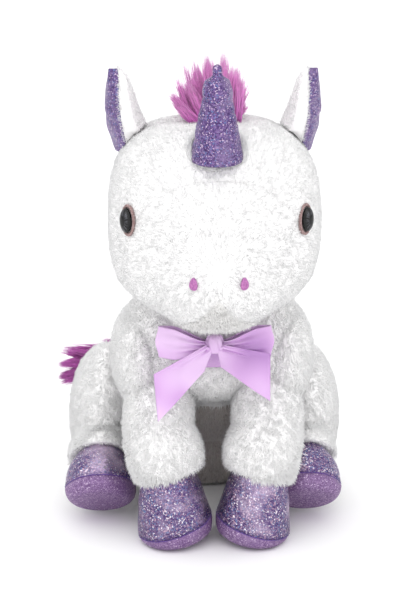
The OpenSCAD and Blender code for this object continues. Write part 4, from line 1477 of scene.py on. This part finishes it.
@dataclass
class FrontLeg:
    """A front leg: a fur cover from the shoulder to the cuff, over its hoof."""

    side: Side
    leg_c: tuple[float, float, float] = (49, -152, 108)
    shoulder: Lobe = Lobe((58, -133, 144), (23, 42, 42))
    lower: Lobe = Lobe((43, -160, 98), (29, 30, 62), -26)
    cuff: Lobe = Lobe((36, -173, 70), (28.5, 27, 32))
    cuff_tilt: float = 12
    rows: int = 16
    cols: int = 20

    def build(self) -> None:
        """Makes the cover, its long cuff hair and the hoof."""
        low, high = node_box(f"front_hoof_sole_{self.side.word}")
        middle = (low + high) / 2 * vec(self.side.value, 1, 1)
        _, top = node_box(f"front_hoof_upper_{self.side.word}")
        origin = vec(middle[0], middle[1], low[2])
        radius = (high[0] - low[0]) / 2
        slant = math.radians(self.cuff_tilt)
        cut = (vec(-math.sin(slant), 0, -math.cos(slant)), vec(origin[0] + 5, origin[1], top[2] - 1))
        skin = LobedSkin(vec(*self.leg_c), vec(0, 0, -1), vec(1, 0, 0), vec(0, 1, 0), self.rows, self.cols,
                         (self.shoulder, self.lower, self.cuff), (cut,))
        mirrored = skin.on_side(self.side)
        word = self.side.word
        panel = FurPanel(f"front_leg_{word}_plush", (0, self.rows), (0, self.cols),
                         (f"front_leg_cover_{word}", f"front_leg_stuffing_{word}"), wrap=True,
                         seed=120 + self.side.value)
        cuff = mirrored.patch((1.8, 4.2), (0, self.cols), (8, 8), -PILE_SINK)
        fringe = CUFF_PILE.grow(cuff, mirrored.centre, down_comb, 130 + self.side.value)
        panel.make(mirrored, f"front_leg_{word}", down_comb, (8, 8), [fringe])
        Hoof(f"front_hoof_{word}", f"front_leg_{word}", radius, top[2] - low[2], origin, 0, self.side).build()


@dataclass
class HindLeg:
    """A hind leg: a broad haunch that runs into a foot, with its raised hoof."""

    side: Side
    leg_c: tuple[float, float, float] = (86, -78, 54)
    haunch_r: float = 60
    haunch_half: float = 31
    haunch_p: tuple[float, float] = (-45, 64)
    sole_tilt: float = 42
    hoof_h: float = 46
    foot_back: float = 42
    foot_z: float = 40
    foot_radii: tuple[float, float, float] = (28, 48, 34)
    inner: float = 60
    rows: int = 16
    cols: int = 20

    def build(self) -> None:
        """Makes the cover, its cuff and the hoof."""
        word = self.side.word
        low, high = node_box(f"hind_hoof_sole_{word}")
        radius = (high[0] - low[0]) / 2
        foot_x = (low[0] + high[0]) / 2 * self.side.value
        slant = math.radians(self.sole_tilt)
        axis = vec(0, math.sin(slant), math.cos(slant))
        toe = low[1] + radius * math.cos(slant)
        origin = vec(foot_x, toe, radius * math.sin(slant))
        near, far = node_box(f"hind_leg_cover_{word}")
        reach = max(-near[0], far[0])
        haunch = Lobe((reach - self.haunch_half, *self.haunch_p),
                      (self.haunch_half, self.haunch_r, self.haunch_r))
        foot = Lobe((foot_x, toe + self.foot_back, self.foot_z), self.foot_radii)
        planes = (
            (-axis, origin + (self.hoof_h - 3) * axis),
            (vec(0, 0, -1), vec(0, 0, 1 + PILE_SINK)),
            (vec(-1, 0, 0), vec(self.inner, 0, 0)),
        )
        skin = LobedSkin(vec(*self.leg_c), vec(0, -1, 0), vec(1, 0, 0), vec(0, 0, -1), self.rows, self.cols,
                         (haunch, foot), planes)
        mirrored = skin.on_side(self.side)
        panel = FurPanel(f"hind_leg_{word}_plush", (0, self.rows), (0, self.cols),
                         (f"hind_leg_cover_{word}", f"hind_leg_stuffing_{word}"), wrap=True,
                         seed=140 + self.side.value)
        cuff = mirrored.patch((2.4, 3.6), (0, self.cols), (8, 8), -PILE_SINK)
        fringe = HEM_PILE.grow(cuff, mirrored.centre, toe_comb, 150 + self.side.value)
        panel.make(mirrored, f"hind_leg_{word}", down_comb, (9, 10), [fringe])
        Hoof(f"hind_hoof_{word}", f"hind_leg_{word}", radius, self.hoof_h, origin, self.sole_tilt, self.side,
             seam_slope=0.5, narrow=0.5, taper=2.2, shear=0.0, roll=0.0, dome=8.0).build()


@dataclass
class Tail:
    """The tail: long combed hair that streams to the toy's right from a soft core."""

    length: float = 126
    hair_count: int = 7600
    lock_count: int = 64

    def build(self) -> None:
        """Makes the hair and wraps the core.

        The core line runs level to the side, curving forward and up by squares of its share. Roots lie on
        the line's first part, and locks run outward along it with a spread that grows.
        """
        low, high = node_box("tail_core")
        root = (low + high) / 2
        rng = np.random.default_rng(161)

        def line(s: Array) -> Array:
            """The middle of the tail at each share of its length."""
            return root + np.stack([-7 - self.length * s, 4 * np.sin(math.pi * s) - 24 * s * s, -9 * s], -1)

        def about(count: int, s: Array, spread: Array) -> Array:
            """Random places round the middle line."""
            a = rng.uniform(0, 2 * math.pi, count)
            off = np.stack([0 * a, 0.55 * np.cos(a), np.sin(a)], -1)
            return line(s) + off * (spread * np.sqrt(rng.uniform(0, 1, count)))[:, None]

        def swell(s: Array) -> Array:
            """The radius that roots lie within: a sine over the middle line, from nearly its start."""
            return 2 + 9 * np.sin(math.pi * (0.15 + 0.7 * s))

        lock_s = rng.uniform(0.0, 0.75, self.lock_count)
        starts = about(self.lock_count, lock_s, swell(lock_s))
        out = unit(starts - line(lock_s) + 1e-6)
        tips = line(np.clip(lock_s + rng.uniform(0.3, 0.5, self.lock_count), 0, 1.0)) + out * rng.uniform(
            4, 26, (self.lock_count, 1)) * vec(1, 0.5, 1)
        s = rng.uniform(0.0, 0.8, self.hair_count)
        roots = about(self.hair_count, s, swell(s))
        hair = grow_locks(roots, starts, tips, 1.3, 0.45, rng)
        heart_s = np.linspace(0, 1, 24)
        a = around(20)
        fat = 9 * np.sin(math.pi * np.clip(0.04 + 0.9 * heart_s, 0, 1)) * (1 - 0.5 * heart_s)
        ring = np.stack([0 * a, 0.55 * np.cos(a), np.sin(a)], -1)
        heart = line(0.72 * heart_s)[:, None] + ring[None] * fat[:, None, None]
        # The core takes the hair's darker root colour: painted shade inside the tail.
        body = ball(poled(heart), grid_uv(24, 20, (0.04, 0.2)))
        obj = make_object("tail_hair_combed", [body, hair], TAIL_PILE, HAIR_MAP)
        place(obj, "tail", "mane_pile", "tail_hair")
        z = np.linspace(0, 1, 14)
        r = (high[0] - low[0]) / 2
        core = turned(r * np.sqrt(np.clip(1 - (2 * z - 1) ** 6, 0, 1)), low[2] + (high[2] - low[2]) * z, 32)
        core = core + vec(root[0], root[1], 0)
        # The core cloth is coloured near the hair's root: painted shade at the tail's root.
        obj = make_object("tail_core_cloth", [ball(core, grid_uv(14, 32, (0.04, 0.3)))], TAIL_PILE,
                          HAIR_MAP)
        place(obj, "tail", "mane_pile", "tail_core")


# ---- The bow ----

@dataclass
class Bow:
    """The satin bow under the chin: a neck band, two loops, two tails and the knot."""

    ribbon: float = 24
    satin: float = 0.5
    reach: float = 44
    pinch_half: float = 4.2
    loop_share: float = 2.1
    tail_length: float = 50
    knot: Array = field(init=False)

    def __post_init__(self) -> None:
        """Finds the knot."""
        low, high = node_box("bow_knot")
        self.knot = (low + high) / 2

    def loop(self, side: Side) -> None:
        """A loop: the ribbon runs out in front, turns at the end and comes back behind.

        Along the way, the distance from the knot is a sine, and the depth a cosine. The half width grows
        from the pinch at the knot, and folds that fade outward are cosines across the ribbon.
        """
        s, w = np.meshgrid(np.linspace(0, 1, 90), np.linspace(-1, 1, 26), indexing="ij")
        out = np.sin(math.pi * s) ** 0.8
        half = self.pinch_half + (self.ribbon / 2 - self.pinch_half) * smooth(out, 0.0, 0.75)
        fold = 1.7 * np.cos(3 * math.pi * w) * (1 - out) ** 1.2
        depth = -(2.2 + 4.0 * np.sin(math.pi * np.clip(out, 0, 1) * 0.8)) * np.cos(math.pi * s)
        x = 6 + (self.reach - 6) * out + 1.2 * np.cos(math.pi * w) * out
        z = half * w + 3.0 * out - 1.5 * (1 - out)
        grid = np.stack([x, depth + fold - 3 * out, z], -1)
        grid = grid + vec(0, 0.5, 0) * waves(grid, 30, 171 + side.value)[..., None]
        ribbon = sheet_of(side.mirrored(grid) + self.knot, self.satin, grid_uv(90, 26, (1.0, 4.0)))
        obj = make_object(f"bow_loop_{side.word}_satin", [ribbon], SATIN)
        self.soft(obj, self.loop_share * self.reach, f"bow_loop_{side.word}", side)

    def tail(self, side: Side, corner: Array, tip: Array, inner: Array) -> None:
        """A tail: the ribbon falls from the knot and is cut on the slant.

        Its outer edge runs from the knot to the corner and then to the tip, its inner edge straight to the
        inner point, and each place is a share of the way between them, so that the end runs from the inner
        point to the tip. Soft waves across it are sines that grow away from the knot.

        Args:
            side: the side of the toy.
            corner: the outer edge's bend, from the knot.
            tip: the pointed end, from the knot.
            inner: the inner end of the cut, from the knot.
        """
        t, w = np.meshgrid(np.linspace(0, 1, 61), np.linspace(0, 1, 26), indexing="ij")
        t3, w3 = t[..., None], w[..., None]
        begin_out, begin_in = vec(7, -5, 1), vec(2, -5, -5)
        outer = np.where(t3 < 0.5, begin_out + (corner - begin_out) * 2 * t3,
                         corner + (tip - corner) * (2 * t3 - 1))
        inside = begin_in * (1 - t3) + inner * t3
        grid = inside * (1 - w3) + outer * w3
        ripple = 3.2 * np.sin(math.pi * (1.4 * w + 0.5 * t)) * np.sin(math.pi * np.clip(0.15 + 0.7 * t, 0, 1))
        pinch = 1.3 * np.cos(5 * math.pi * w) * (1 - t) ** 2
        grid = grid + vec(0, 1, 0) * (ripple + pinch)[..., None]
        ribbon = sheet_of(side.mirrored(grid) + self.knot, self.satin, grid_uv(61, 26, (1.0, 2.4)))
        obj = make_object(f"bow_tail_{side.word}_satin", [ribbon], SATIN)
        self.soft(obj, self.tail_length, f"bow_tail_{side.word}", side)

    def soft(self, obj: bpy.types.Object, length: float, node: str, side: Side) -> None:
        """Gives a stretch of ribbon its own mesh, puts it on the torso and hides its frame node."""
        f"front_leg_swing_{side.word}"
        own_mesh(obj)
        place(obj, "torso", "satin_ribbon", node)

    def middle(self) -> None:
        """The knot: an upright roll, squarer than round, with pleats that run down it."""
        low, high = node_box("bow_knot")
        size = (high - low) / 2
        lat = np.linspace(-math.pi / 2, math.pi / 2, 30)
        a = around(80)
        r = np.cos(lat)[:, None] ** 0.5 * (1 + 0.07 * np.cos(9 * a + 1.5 * np.sin(2 * lat)[:, None]))
        z = np.sin(lat)[:, None] + 0 * r
        grid = np.stack([size[0] * r * np.cos(a), size[1] * r * np.sin(a), size[2] * z], -1) + self.knot
        obj = make_object("bow_knot_satin", [ball(poled(grid), grid_uv(30, 80))], SATIN)
        place(obj, "torso", "satin_ribbon", "bow_knot")

    def band(self, torso: Torso) -> None:
        """The neck band: a short strip of ribbon that lies on the chest behind the bow."""
        low, high = node_box("neck_ribbon")
        x, z = np.meshgrid(np.linspace(low[0], high[0], 60), np.linspace(low[2], high[2], 16), indexing="ij")
        y = np.full_like(x, -190.0)
        grid = torso.skin.on(np.stack([x, y, z], -1), 1.2 + 0 * x)
        obj = make_object("neck_ribbon_satin", [sheet_of(grid, self.satin)], SATIN)
        place(obj, "torso", "satin_ribbon", "neck_ribbon")

    def build(self, torso: Torso) -> None:
        """Ties the bow."""
        self.band(torso)
        for side in Side:
            self.loop(side)
        self.tail(Side.RIGHT, vec(47, -10, -20), vec(44, -16, -57), vec(8, -8, -20))
        self.tail(Side.LEFT, vec(42, -8, -5), vec(42, -14, -42), vec(4.5, -8, -17))
        self.middle()


# ---- The room ----

@dataclass
class Studio:
    """A pale floor, soft light and the camera."""

    azimuth: float = 2
    elevation: float = 15
    distance: float = 1400
    target: tuple[float, float, float] = (0, -100, 177.5)
    lens: float = 102.8
    shift_x: float = -10 / 601
    sky: tuple[tuple[float, str], ...] = ((0.0, "#E6E6E7"), (0.3, "#F1F1F2"), (0.8, "#FFFFFF"))
    sky_strength: float = 1.2
    suns: tuple[tuple, ...] = (("key", 0.5, 50, (36, 0, -20)), ("fill", 0.5, 80, (76, 0, 16)))

    def camera(self) -> None:
        """Aims the camera at the toy from the front and a little above."""
        a, e = math.radians(self.azimuth), math.radians(self.elevation)
        aim = vec(math.sin(a) * math.cos(e), math.cos(a) * math.cos(e), -math.sin(e))
        data = bpy.data.cameras.new("camera")
        data.lens = self.lens
        data.shift_x = self.shift_x
        obj = bpy.data.objects.new("camera", data)
        obj.location = (vec(*self.target) - aim * self.distance) * MM
        obj.rotation_euler = (math.radians(90 - self.elevation), 0, -a)
        bpy.context.scene.collection.objects.link(obj)
        bpy.context.scene.camera = obj

    def floor(self) -> None:
        """Lays the floor."""
        bpy.ops.mesh.primitive_plane_add(size=60, location=(0, 0, 0))
        plane = bpy.context.active_object
        plane.name = "floor"
        material, tree = new_material("matt_white_paper")
        shade(tree, Base_Color=rgb("#FCFCFC"), Roughness=0.95, Specular_IOR_Level=0.0)
        plane.data.materials.append(material)

    def light(self) -> None:
        """A pale sky that is brighter overhead, and two broad suns: one from above, one low in front."""
        world = bpy.data.worlds.new("sky")
        bpy.context.scene.world = world
        world.use_nodes = True
        tree = world.node_tree
        tree.nodes.clear()
        high = add(tree, "ShaderNodeSeparateXYZ", {0: add(tree, "ShaderNodeTexCoord").outputs["Generated"]})
        colour = ramp(tree, high.outputs["Z"], self.sky)
        back = add(tree, "ShaderNodeBackground", {"Color": colour, "Strength": self.sky_strength})
        add(tree, "ShaderNodeOutputWorld", {"Surface": back.outputs[0]})
        for name, strength, angle, turn in self.suns:
            data = bpy.data.lights.new(name, "SUN")
            data.energy = strength
            data.angle = math.radians(angle)
            lamp = bpy.data.objects.new(name, data)
            lamp.rotation_euler = [math.radians(x) for x in turn]
            bpy.context.scene.collection.objects.link(lamp)

    def build(self) -> None:
        """Sets up the room."""
        self.camera()
        self.floor()
        self.light()
        view = bpy.context.scene.view_settings
        view.view_transform = "Standard"
        view.look = "None"


def main() -> None:
    """Builds the toy piece by piece."""
    logging.basicConfig(level=logging.INFO, format="%(name)s: %(message)s")
    Studio().build()
    head = Head()
    head.build()
    Horn(head).build()
    Mane(head).build()
    for side in Side:
        Ear(head, side).build()
    torso = Torso()
    torso.build()
    for side in Side:
        FrontLeg(side).build()
        HindLeg(side).build()
    Tail().build()
    Bow().build(torso)


if __name__ == "__main__":
    main()
